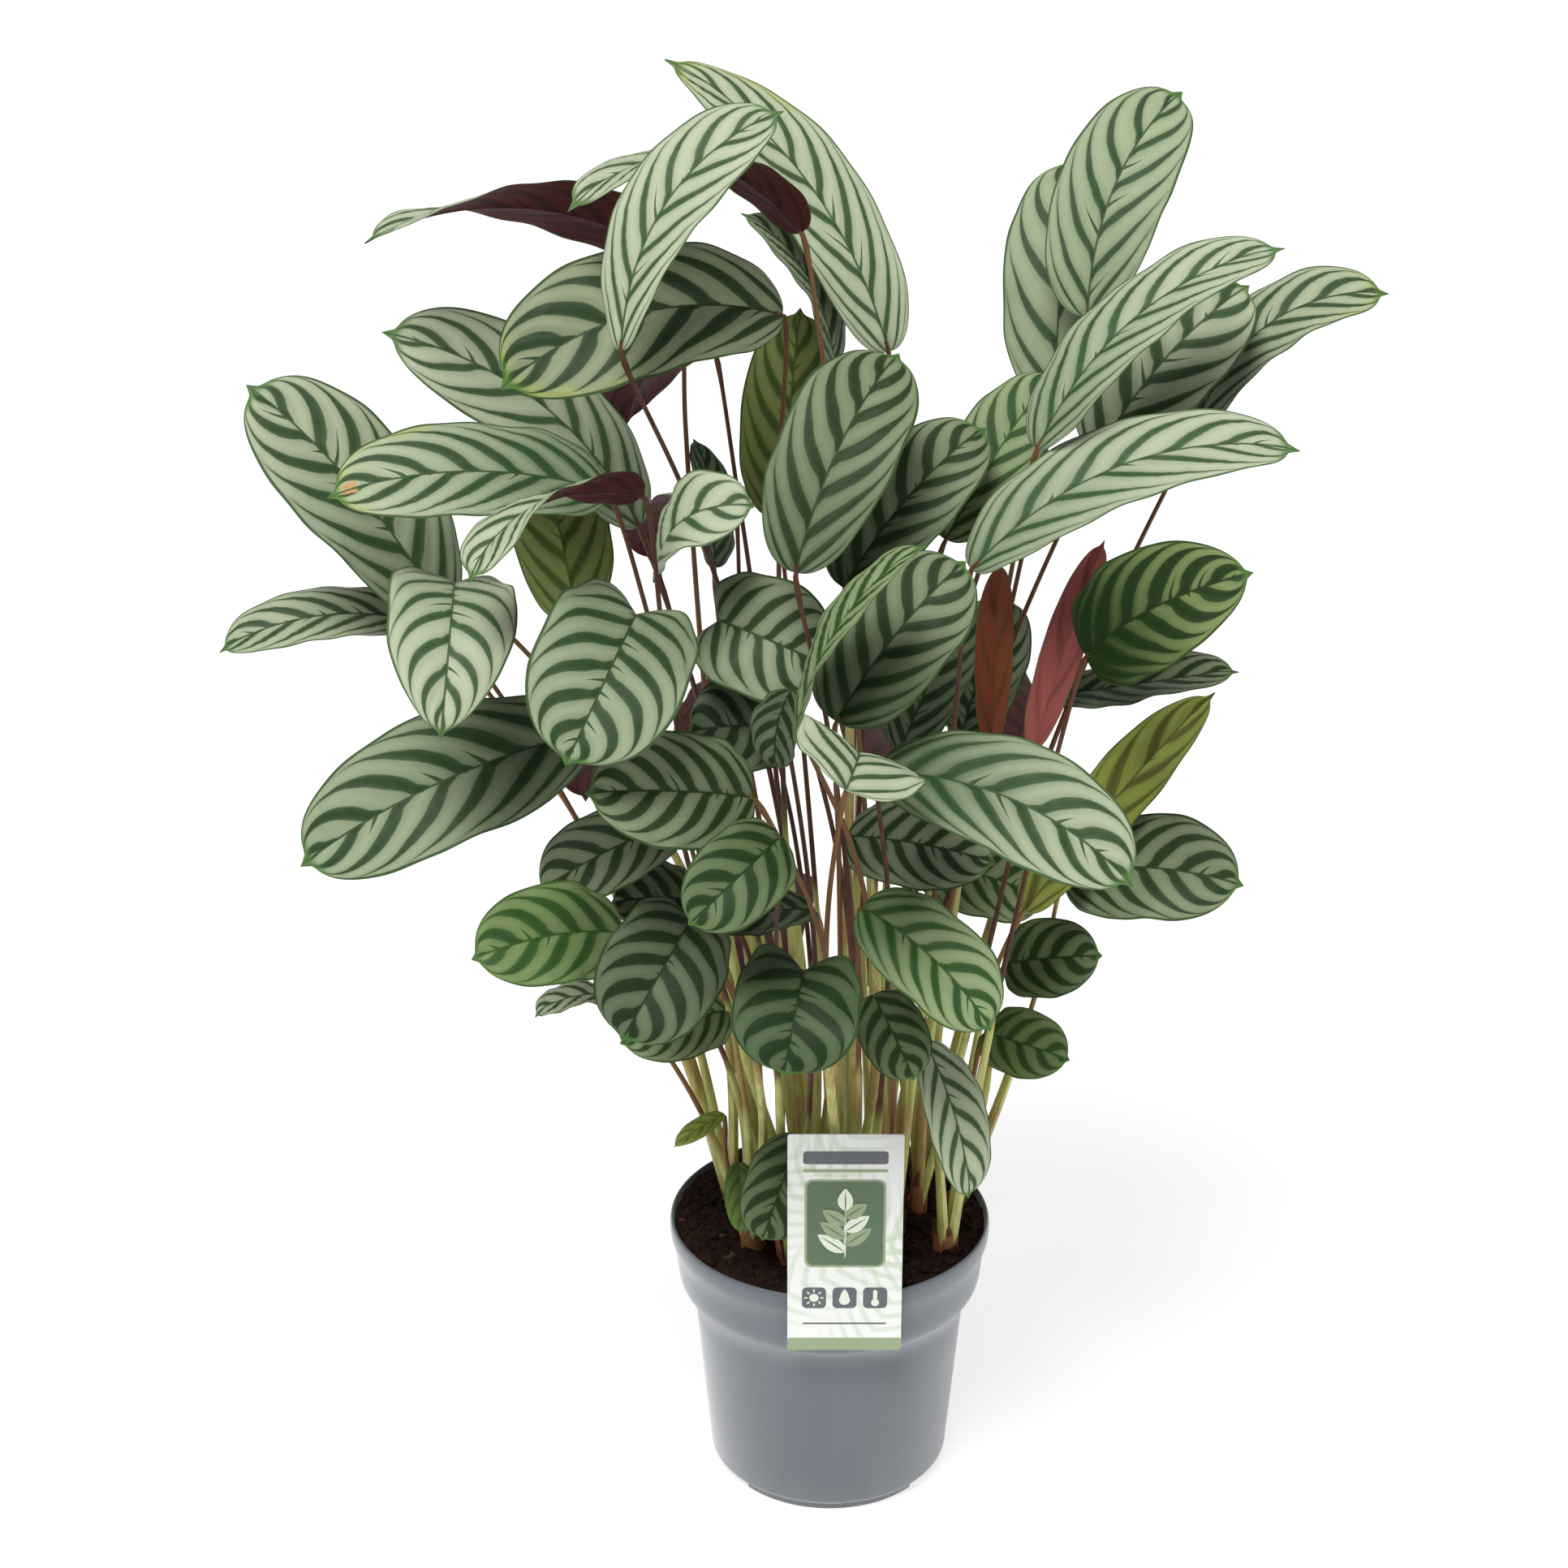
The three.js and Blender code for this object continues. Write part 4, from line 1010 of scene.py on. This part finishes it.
def pot_material():
    """Blue-grey satin plastic with a pale bloom, mottled and scuffed, darker low down, with painted shade
    inside the lip
    """
    g = material("pot_plastic")
    position = g.place()
    radius, height = g.reach(position)
    wall_middle = (height - LIP_FOOT[1]) * LIP_LEAN + LIP_FOOT[0]
    inside = (1 - g.step(radius - wall_middle, -0.0003, 0.0003)) * g.step(height, 0.15, 0.155)
    mottled = g.noise(14, 4)
    scuffs = g.step(g.noise(36, 5, stretch=(1, 1, 0.25)), 0.58, 0.72)
    lowered = g.step(height, 0.02, 0.15)
    colour = g.mix(lowered * 0.7 + mottled * 0.3, paint(80, 86, 95), paint(94, 102, 111))
    colour = g.mix(scuffs * 0.2, colour, paint(113, 117, 122))
    # Painted shade: the inside of the lip is painted dark teal
    colour = g.mix(inside * 0.8, colour, paint(40, 56, 66))
    dust = (1 - g.step(height + mottled * 0.02, 0.008, 0.04)) * 0.2
    colour = g.mix(dust, colour, paint(124, 124, 122))
    relief = g.noise(1500, 2) + g.noise(60, 2) * 2
    return g.shade(colour, mottled * 0.12 + 0.34 + scuffs * 0.12, relief, distance=0.00012, strength=0.5,
                   plain={"Sheen Weight": 0.6, "Sheen Roughness": 0.5})


def peat_material():
    """Dark crumbs, with redder and paler fibres among them"""
    g = material("peat_crumb")
    tone = g.attribute("tone")
    speckled = g.noise(520, 5)
    colour = g.mix(g.step(speckled + tone * 0.25, 0.42, 0.8), paint(20, 13, 11), paint(60, 34, 25))
    fibres = g.step(g.noise(240, 4, stretch=(1, 0.2, 1)), 0.64, 0.74)
    colour = g.mix(fibres * 0.5, colour, paint(98, 58, 40))
    colour = g.mix(g.step(tone, 0.985, 0.995) * 0.6, colour, paint(112, 78, 54))
    relief = speckled + g.noise(1700, 3) * 0.5
    return g.shade(colour, speckled * 0.2 + 0.78, relief, distance=0.0012, strength=1.0,
                   plain={"Specular IOR Level": 0.2})


def card_material():
    """Smooth coated card, near white, with a faint print of broad striped leaves"""
    g = material("card_print")
    position = g.place()
    across, height = g.split(position, 0), g.split(position, 2)
    print_of_leaves = 0
    for x, z, lean, pitch in CARD_STREAKS:
        along = (across - x * MM) * math.cos(lean) + (height - z * MM) * math.sin(lean)
        beside = abs((height - z * MM) * math.cos(lean) - (across - x * MM) * math.sin(lean))
        wave = g.maths("SINE", (along - beside * beside * 14 - beside * 0.5) * (2 * math.pi / (pitch * MM)))
        fade = 1 - g.step(beside, 0.012, 0.034)
        print_of_leaves = g.step(wave, 0.1, 0.7) * fade * 0.5 + print_of_leaves
    colour = g.mix(g.maths("MINIMUM", print_of_leaves, 0.8), paint(238, 240, 235), paint(194, 212, 182))
    fibre = g.noise(700, 3)
    colour = g.mix(fibre * 0.05, colour, paint(210, 210, 206))
    return g.shade(colour, fibre * 0.06 + 0.3, fibre, distance=0.00004, strength=0.4)


def ink_material():
    """Printed places on the card, each with its own colour, with the slight unevenness of ink"""
    g = material("card_ink")
    uneven = g.noise(900, 3)
    colour = g.mix(uneven * 0.12, g.attribute("ground", colour=True), paint(226, 230, 222))
    return g.shade(colour, uneven * 0.08 + 0.3, uneven, distance=0.00003, strength=0.4)


# Pot

POT_SIDES = 160
DRAIN_SIDES = 28

# How far off a corner its curve starts, at most this share of either side next to it, and the curve's steps
CORNER_REACH = 2.6
SHOULDER_REACH = 7
CORNER_LIMIT = 0.45
CORNER_SHARES = (0, 0.25, 0.5, 0.75, 1)


def rounded(profile, reaches):
    """The profile with each corner between its ends drawn as a curve that starts and ends this far off"""
    profile = [np.array(point, float) for point in profile]
    made = profile[:1]
    for before, corner, after, reach in zip(profile, profile[1:], profile[2:], reaches):
        low, high = (
            corner + unit(way) * min(reach, CORNER_LIMIT * np.linalg.norm(way))
            for way in (before - corner, after - corner)
        )
        made += [(1 - k) ** 2 * low + 2 * k * (1 - k) * corner + k * k * high for k in CORNER_SHARES]
    return made + profile[-1:]


def turned(profile, sides):
    """A profile turned about the upright axis: a closed one, or one from the axis to the axis"""
    is_open = bool(profile[0][0] < 1e-6)
    rows = profile[1:-1] if is_open else profile[:-1]
    points = [(r * math.cos(turn), r * math.sin(turn), z) for r, z in rows for turn in around(sides)]
    if is_open:
        points += [(0, 0, profile[0][1]), (0, 0, profile[-1][1])]
    return np.array(points), ring_faces(len(rows), sides, is_open)


def plain_piece(name, points, faces):
    body = Body()
    body.add(points, faces)
    return body.make(name, [])


def joined(piece, others, operation):
    """The piece after each of the others is added to it or cut from it"""
    for other in others:
        change = piece.modifiers.new("change", "BOOLEAN")
        change.operation = operation
        change.solver = "EXACT"
        change.object = other
    shown = piece.evaluated_get(bpy.context.evaluated_depsgraph_get())
    mesh = bpy.data.meshes.new_from_object(shown)
    piece.modifiers.clear()
    piece.data = mesh
    for other in others:
        bpy.data.objects.remove(other)
    return piece


def upright_bar(name, middle, levels, radii, sides):
    low, high = levels
    points, faces = turned([(0, low), (radii[0], low), (radii[1], high), (0, high)], sides)
    return plain_piece(name, points + [*middle, 0], faces)


def foot_ring():
    inner, outer = FOOT_RING
    top = FOOT_HEIGHT + FOOT_SINK
    section = [(inner, 0), (outer, 0), (outer + FOOT_SINK, top), (inner, top), (inner, 0)]
    ring = plain_piece("ring", *turned(section, POT_SIDES))
    cuts = []
    for i in range(FOOT_SECTORS):
        angle = 2 * math.pi * i / FOOT_SECTORS + math.pi / 2
        x_way = np.array([math.cos(angle), math.sin(angle), 0])
        y_way = np.array([-math.sin(angle), math.cos(angle), 0])
        corners = [
            x_way * (outer + x * inner / 4) + y_way * y * FOOT_GAP / 2 + np.array([0, 0, z * top])
            for x in (-1, 1) for y in (-1, 1) for z in (-1, 1)
        ]
        faces = [(0, 1, 3, 2), (4, 6, 7, 5), (0, 4, 5, 1), (2, 3, 7, 6), (0, 2, 6, 4), (1, 5, 7, 3)]
        cuts.append(plain_piece(f"cut_{i}", np.array(corners), faces))
    return joined(ring, cuts, "DIFFERENCE")


def wall_inset(inset):
    return [(radius - inset, height) for radius, height in WALL_OUTLINE]


def pot():
    profile = [
        (0, FOOT_HEIGHT), (BASE_RADIUS, FOOT_HEIGHT), *WALL_OUTLINE, *LIP_OUTLINE,
        *reversed(wall_inset(WALL)), (BASE_RADIUS, FLOOR_TOP), (0, FLOOR_TOP),
    ]
    soft = WALL_OUTLINE[1:]
    reaches = [SHOULDER_REACH if corner in soft else CORNER_REACH for corner in profile[1:-1]]
    piece = plain_piece("nursery_pot", *turned(rounded(profile, reaches), POT_SIDES))
    pad_radii = (PAD_RADIUS, PAD_RADIUS + 1)
    pad = upright_bar("pad", (0, 0), (0, FOOT_HEIGHT + 1), pad_radii, POT_SIDES // 2)
    piece = joined(piece, [foot_ring(), pad], "UNION")
    drain_radii = (DRAIN_RADIUS, DRAIN_RADIUS)
    drains = []
    for i in range(DRAIN_HOLES):
        angle = 2 * math.pi * (i + 0.5) / DRAIN_HOLES
        middle = (DRAIN_RING * math.cos(angle), DRAIN_RING * math.sin(angle))
        drains.append(upright_bar(f"drain_{i}", middle, (1, FLOOR_TOP + 1), drain_radii, DRAIN_SIDES))
    piece = joined(piece, drains, "DIFFERENCE")
    piece.data.shade_smooth()
    piece.data.set_sharp_from_angle(angle=math.radians(40))
    piece.data.materials.append(pot_material())
    settle(piece, "pot_plastic", "pot")


# Peat

PEAT_RINGS = 90
PEAT_TOP_RADIUS = LIP_OUTLINE[-1][0] - GAP
PEAT_SECTORS = 230
CRUMB_RELIEF = 2.8
EDGE_HEAP = 3.6
CRUMBS = 1500
CRUMB_SIZES = (0.6, 4.2)
CRUMB_STRETCH = ((0.8, 0.5, 0.4), (1.4, 1.0, 0.8))
CRUMB_DENTS = 0.9
CRUMB_LIFT = 0.15
CRUMB_REACH = 97
TWIGS = 90
TWIG_POINTS = 9
TWIG_LENGTHS = (6, 17)
TWIG_RADIUS = 0.55
TWIG_END_RADIUS = 0.1
TWIG_LIFT = 0.6


def rough_top(x, y):
    """The peat's height with its crumbs, heaped up a little where it was pressed in along the wall"""
    place = Vector((x, y, 0))
    crumbly = noise.fractal(place * 0.07, 0.8, 2.2, 5) + 0.5 * noise.turbulence(place * 0.22, 3, False)
    heaped = EDGE_HEAP * float(ramp(math.hypot(x, y) / PEAT_RADIUS, 0.7, 0.97))
    return float(peat_top(x, y)) + CRUMB_RELIEF * (crumbly - 0.3) + heaped


def peat_bed(body):
    bottom = FLOOR_TOP + GAP
    top = [(PEAT_TOP_RADIUS * k / PEAT_RINGS, PEAT_EDGE) for k in range(PEAT_RINGS, -1, -1)]
    profile = [(0, bottom), (BASE_RADIUS - GAP, bottom), *wall_inset(WALL + GAP), *top]
    points, faces = turned(profile, PEAT_SECTORS)
    for point in points:
        if point[2] > PEAT_EDGE - GAP:
            point[2] = rough_top(point[0], point[1])
    body.add(points, faces, 0, {"tone": 0.4})


def crumbs(body):
    """Loose lumps, each a ball knocked out of shape, half sunk in the peat"""
    ball = bmesh.new()
    bmesh.ops.create_icosphere(ball, subdivisions=2, radius=1)
    shape = np.array([corner.co[:] for corner in ball.verts])
    faces = [tuple(corner.index for corner in face.verts) for face in ball.faces]
    ball.free()
    for _ in range(CRUMBS):
        size = lerp(*CRUMB_SIZES, RANDOM.uniform() ** 2.5)
        far = CRUMB_REACH * math.sqrt(RANDOM.uniform())
        turn = RANDOM.uniform(0, 2 * math.pi)
        x, y = far * math.cos(turn), far * math.sin(turn)
        dents = np.array([noise.noise(Vector(point * 1.6) + Vector((x, y, 0))) for point in shape])
        lump = shape * (1 + CRUMB_DENTS * dents[:, None]) * size * RANDOM.uniform(*CRUMB_STRETCH)
        lump[:, :2] = lump[:, :2] @ turn_by(RANDOM.uniform(0, 2 * math.pi))
        place = [x, y, rough_top(x, y) + size * CRUMB_LIFT]
        body.add(lump + place, faces, 0, {"tone": RANDOM.uniform(0, 1)})


def twigs(body):
    """Short bits of root and fibre that lie on the peat, smoothed over its roughness"""
    for _ in range(TWIGS):
        far = CRUMB_REACH * math.sqrt(RANDOM.uniform()) - 6
        turn, way = RANDOM.uniform(0, 2 * math.pi, 2)
        length = RANDOM.uniform(*TWIG_LENGTHS)
        curl = RANDOM.uniform(-0.06, 0.06)
        angles = way + curl * np.linspace(-0.5, 0.5, TWIG_POINTS) * length
        level = np.cumsum(np.stack([np.cos(angles), np.sin(angles)], -1), 0) * length / TWIG_POINTS
        level += np.array([math.cos(turn), math.sin(turn)]) * far - level[TWIG_POINTS // 2]
        level *= np.minimum(1, CRUMB_REACH / np.linalg.norm(level, axis=1, keepdims=True))
        heights = np.pad([rough_top(x, y) + TWIG_LIFT for x, y in level], 2, "edge")
        centres = np.column_stack([level, np.convolve(heights, np.ones(5) / 5, "valid")])
        radii = lerp(TWIG_END_RADIUS, TWIG_RADIUS, np.sin(np.linspace(0.25, math.pi - 0.25, TWIG_POINTS)))
        points, faces = tube(centres, unit(np.gradient(centres, axis=0)), radii, 6)
        body.add(points, faces, 0, {"tone": RANDOM.uniform(0.8, 1)})


def peat():
    body = Body()
    peat_bed(body)
    crumbs(body)
    twigs(body)
    settle(body.make("peat_bed", [peat_material()], sharp=38), "peat", "peat")


# Card

HOOK_THINNER = 0.8
HOOK_BEND = 1.6
HOOK_START = 12
CARD_CORNER = 1.6
SAGE = paint(142, 161, 121)
SLATE = paint(76, 80, 88)
FOREST = paint(64, 96, 62)
MIST = paint(226, 235, 216)

# The faint print, as places that stripes run through: across and up in mm, their lean in radians, and how
# far apart they are in mm
CARD_STREAKS = [(-12, 268, 0.9, 11), (34, 232, 2.4, 12), (-20, 190, 0.45, 12), (30, 166, 1.1, 11)]

# Boxes printed on the card: how high the middle of each is on it, its width, height and corners, its
# colour, and how many layers of ink it is high
INK_THICKNESS = 0.05
PRINTED_BOXES = [
    (4.5, CARD_WIDTH - 0.1, 9, CARD_CORNER, SAGE, 1),
    (137, 52, 9, 2, SLATE, 1),
    (128, 52, 2.2, 1, SAGE, 1),
    (19.5, 52, 1.2, 0.5, SLATE, 1),
    (91, 50, 62, 5, SAGE, 1),
    (91, 47, 59, 4, FOREST, 2),
]
SPRIG_FOOT = CARD_BOTTOM + 66
SPRIG_HEIGHT = 38
LEAFLETS = 7
LEAFLET_STEP = 4.9
LEAFLET_LEAN = 54
LEAFLET_LENGTH = 21
LEAFLET_WIDTH = 9.5
LEAFLET_SHRINK = 0.9
LEAFLET_RIB = (0.9, 0.9)
SIGN_LEVEL = CARD_BOTTOM + 38
SIGN_SPACING = 19
SIGN_SIZE = 15
SIGN_CORNER = 3
SUN_RADIUS = 2.9
SUN_RAYS = 8
RAY_START = 3.8


def plate(body, outline_points, front, back, material, ground=MIST):
    """A flat shape of [x, z] points, as a thin closed plate between two depths"""
    amount = len(outline_points)
    ring = np.array(outline_points, float)
    front_ring = np.column_stack([ring[:, 0], np.full(amount, front), ring[:, 1]])
    back_ring = np.column_stack([ring[:, 0], np.full(amount, back), ring[:, 1]])
    faces = [tuple(range(amount)), tuple(range(2 * amount - 1, amount - 1, -1))]
    for i in range(amount):
        beside = (i + 1) % amount
        faces.append((beside, i, amount + i, amount + beside))
    body.add(np.concatenate([front_ring, back_ring]), faces, material, {}, {"ground": ground})


def rounded_box(x, z, width, height, corner, parts=6):
    """The outline of a box with round corners, x and z its middle, going round from the lower right"""
    made = []
    for i, (way_x, way_z) in enumerate([(1, -1), (1, 1), (-1, 1), (-1, -1)]):
        middle_x = x + way_x * (width / 2 - corner)
        middle_z = z + way_z * (height / 2 - corner)
        for k in range(parts + 1):
            angle = math.pi / 2 * (i - 1 + k / parts)
            made.append((middle_x + corner * math.cos(angle), middle_z + corner * math.sin(angle)))
    return made


def almond(x, z, length, width, angle, parts=14):
    """The outline of a pointed leaf that grows from x, z at this angle from upright"""
    share = np.linspace(0, 1, parts + 1)
    half = width / 2 * np.sin(math.pi * share ** 0.8) ** 0.85
    right = np.column_stack([half, share * length])
    left = np.column_stack([-half, share * length])[-2:0:-1]
    return np.concatenate([right, left]) @ turn_by(-angle) + [x, z]


def disc(x, z, radius, parts=28):
    return np.column_stack([x + radius * np.cos(around(parts)), z + radius * np.sin(around(parts))])


def sprig(printed):
    """A stem with leaflets to its right and left and one at its tip, each over the one below"""
    rib_share, rib_width = LEAFLET_RIB
    printed(almond(CARD_MIDDLE_X, SPRIG_FOOT, SPRIG_HEIGHT, 1.5, 0), MIST, 3)
    for i in range(LEAFLETS):
        foot = (CARD_MIDDLE_X, SPRIG_FOOT + 5 + LEAFLET_STEP * i)
        lean = math.radians(0 if i == LEAFLETS - 1 else LEAFLET_LEAN if i % 2 else -LEAFLET_LEAN)
        length = LEAFLET_LENGTH - LEAFLET_SHRINK * i
        printed(almond(*foot, length, LEAFLET_WIDTH, lean), SAGE if i % 3 else MIST, 4 + 2 * i)
        printed(almond(*foot, length * rib_share, rib_width, lean), FOREST, 5 + 2 * i)


def care_signs(printed):
    """Three square signs: a sun, a drop and a warmth gauge, each drawn in mm about its own middle"""
    sun, drop, gauge = (CARD_MIDDLE_X + SIGN_SPACING * i for i in (-1, 0, 1))
    for x in (sun, drop, gauge):
        printed(rounded_box(x, SIGN_LEVEL, SIGN_SIZE, SIGN_SIZE, SIGN_CORNER), SLATE)
    printed(disc(sun, SIGN_LEVEL, SUN_RADIUS), MIST, 2)
    for angle in around(SUN_RAYS):
        start = (sun + RAY_START * math.sin(angle), SIGN_LEVEL + RAY_START * math.cos(angle))
        printed(almond(*start, 2.6, 1.1, angle, 6), MIST, 2)
    printed(disc(drop, SIGN_LEVEL - 1.6, 3.4), MIST, 2)
    printed(almond(drop, SIGN_LEVEL - 3.6, 10, 5.4, 0), MIST, 3)
    printed(rounded_box(gauge, SIGN_LEVEL + 1.2, 2.6, 9, 1.3), MIST, 2)
    printed(disc(gauge, SIGN_LEVEL - 3.4, 2.5), MIST, 3)


def card():
    """A card with a plain picture of leaves, three care signs and bars, hooked over the rim"""
    body = Body()
    front = CARD_BACK - CARD_THICKNESS
    middle = (CARD_MIDDLE_X, CARD_BOTTOM + CARD_HEIGHT / 2)
    plate(body, rounded_box(*middle, CARD_WIDTH, CARD_HEIGHT, CARD_CORNER), front, CARD_BACK, 0)
    hook(body)

    def printed(shape, ground, layer=1):
        plate(body, shape, front - layer * INK_THICKNESS, front + 0.1, 1, ground)

    for level, width, height, corner, ground, layer in PRINTED_BOXES:
        printed(rounded_box(CARD_MIDDLE_X, CARD_BOTTOM + level, width, height, corner), ground, layer)
    sprig(printed)
    care_signs(printed)
    settle(body.make("printed_card", [card_material(), ink_material()], sharp=30), "card", "care_card")


def hook(body):
    """The tongue that goes over the rim and down inside the wall, bent from a strip"""
    half = CARD_THICKNESS / 2
    top = POT_HEIGHT + GAP + half
    outer = CARD_BACK - half
    inner = CARD_BACK + HOOK_GAP + half
    bent = [(outer, top - HOOK_START), (outer, top), (inner, top), (inner, POT_HEIGHT - HOOK_DEPTH)]
    line = np.array(rounded(bent, [HOOK_BEND] * 2))
    ahead = unit(np.gradient(line, axis=0))
    away = np.column_stack([-ahead[:, 1], ahead[:, 0]]) * half * HOOK_THINNER
    ring = np.concatenate([line + away, (line - away)[::-1]])
    amount = len(ring)
    sides = [CARD_MIDDLE_X - HOOK_WIDTH / 2, CARD_MIDDLE_X + HOOK_WIDTH / 2]
    points = [(x, y, z) for x in sides for y, z in ring]
    rows = len(line)
    faces = []
    for i in range(amount):
        beside = (i + 1) % amount
        faces.append((i, beside, amount + beside, amount + i))
    for i in range(rows - 1):
        across = amount - 1 - i
        faces.append((i, across, across - 1, i + 1))
        faces.append((amount + i, amount + i + 1, amount + across - 1, amount + across))
    body.add(points, faces, 0, {}, {"ground": MIST})


# Plant

def plant():
    """A piece for each shoot: its crown, and the petioles and blades of its leaves"""
    materials = [blade_material(), stem_material()]
    grown = grow()
    for number, (shoot, (root, _)) in enumerate(SHOOTS.items()):
        body = Body()
        crown(body, root, number)
        for one in grown:
            if one["shoot"] == shoot:
                seed = float(RANDOM.uniform(0, 1))
                petiole(body, one["path"], seed)
                blade(body, one["form"], seed)
        settle(body.make(f"leaves_{shoot}", materials), "foliage", f"shoot_{shoot}")


# Studio

WORLD_LIGHT = 0.24
FLOOR_SIZE = 60
FLOOR_GLOW = 0.74

# Each light as the direction it comes from, how wide it looks, in degrees, and its strength
LIGHTS = {
    "key": ((-0.25, -0.55, 1.0), 28, 3.0),
    "fill": ((1.0, -0.6, 0.4), 60, 0.5),
    "back": ((0.2, 1.0, 0.9), 60, 0.3),
}


def world():
    """White where the camera sees it, and dimmer as a light"""
    made = bpy.data.worlds.new("studio")
    bpy.context.scene.world = made
    g = Graph(made)
    seen = g.add("ShaderNodeLightPath", {}, output="Is Camera Ray")
    background = g.tree.nodes["Background"]
    g.set(background.inputs["Strength"], seen * (1.0 - WORLD_LIGHT) + WORLD_LIGHT)
    background.inputs["Color"].default_value = (1, 1, 1, 1)


def studio():
    world()
    for name, (direction, width, strength) in LIGHTS.items():
        light = bpy.data.lights.new(name, "SUN")
        light.angle = math.radians(width)
        light.energy = strength
        lamp = bpy.data.objects.new(name, light)
        lamp.rotation_euler = Vector(direction).to_track_quat("Z", "Y").to_euler()
        bpy.context.scene.collection.objects.link(lamp)
    bpy.ops.mesh.primitive_grid_add(size=FLOOR_SIZE, x_subdivisions=4, y_subdivisions=4)
    floor = bpy.context.object
    floor.name = "floor"
    g = material("floor_paper")
    glow = {"Emission Color": (1, 1, 1, 1), "Emission Strength": FLOOR_GLOW}
    g.shade(g.mix(g.noise(3, 3), paint(154, 154, 154), paint(158, 158, 158)), 0.9, plain=glow)
    floor.data.materials.append(g.owner)


def camera():
    lens = bpy.data.cameras.new("camera")
    lens.sensor_width = SENSOR_WIDTH
    lens.lens = SENSOR_WIDTH * EYE_FOCAL / PICTURE_WIDTH
    lens.clip_end = 100
    made = bpy.data.objects.new("camera", lens)
    made.location = EYE * MM
    made.rotation_euler = (math.pi / 2 - EYE_TILT, 0, 0)
    bpy.context.scene.collection.objects.link(made)
    bpy.context.scene.camera = made


pot()
peat()
card()
plant()
studio()
camera()
bpy.context.scene.view_settings.view_transform = "Standard"
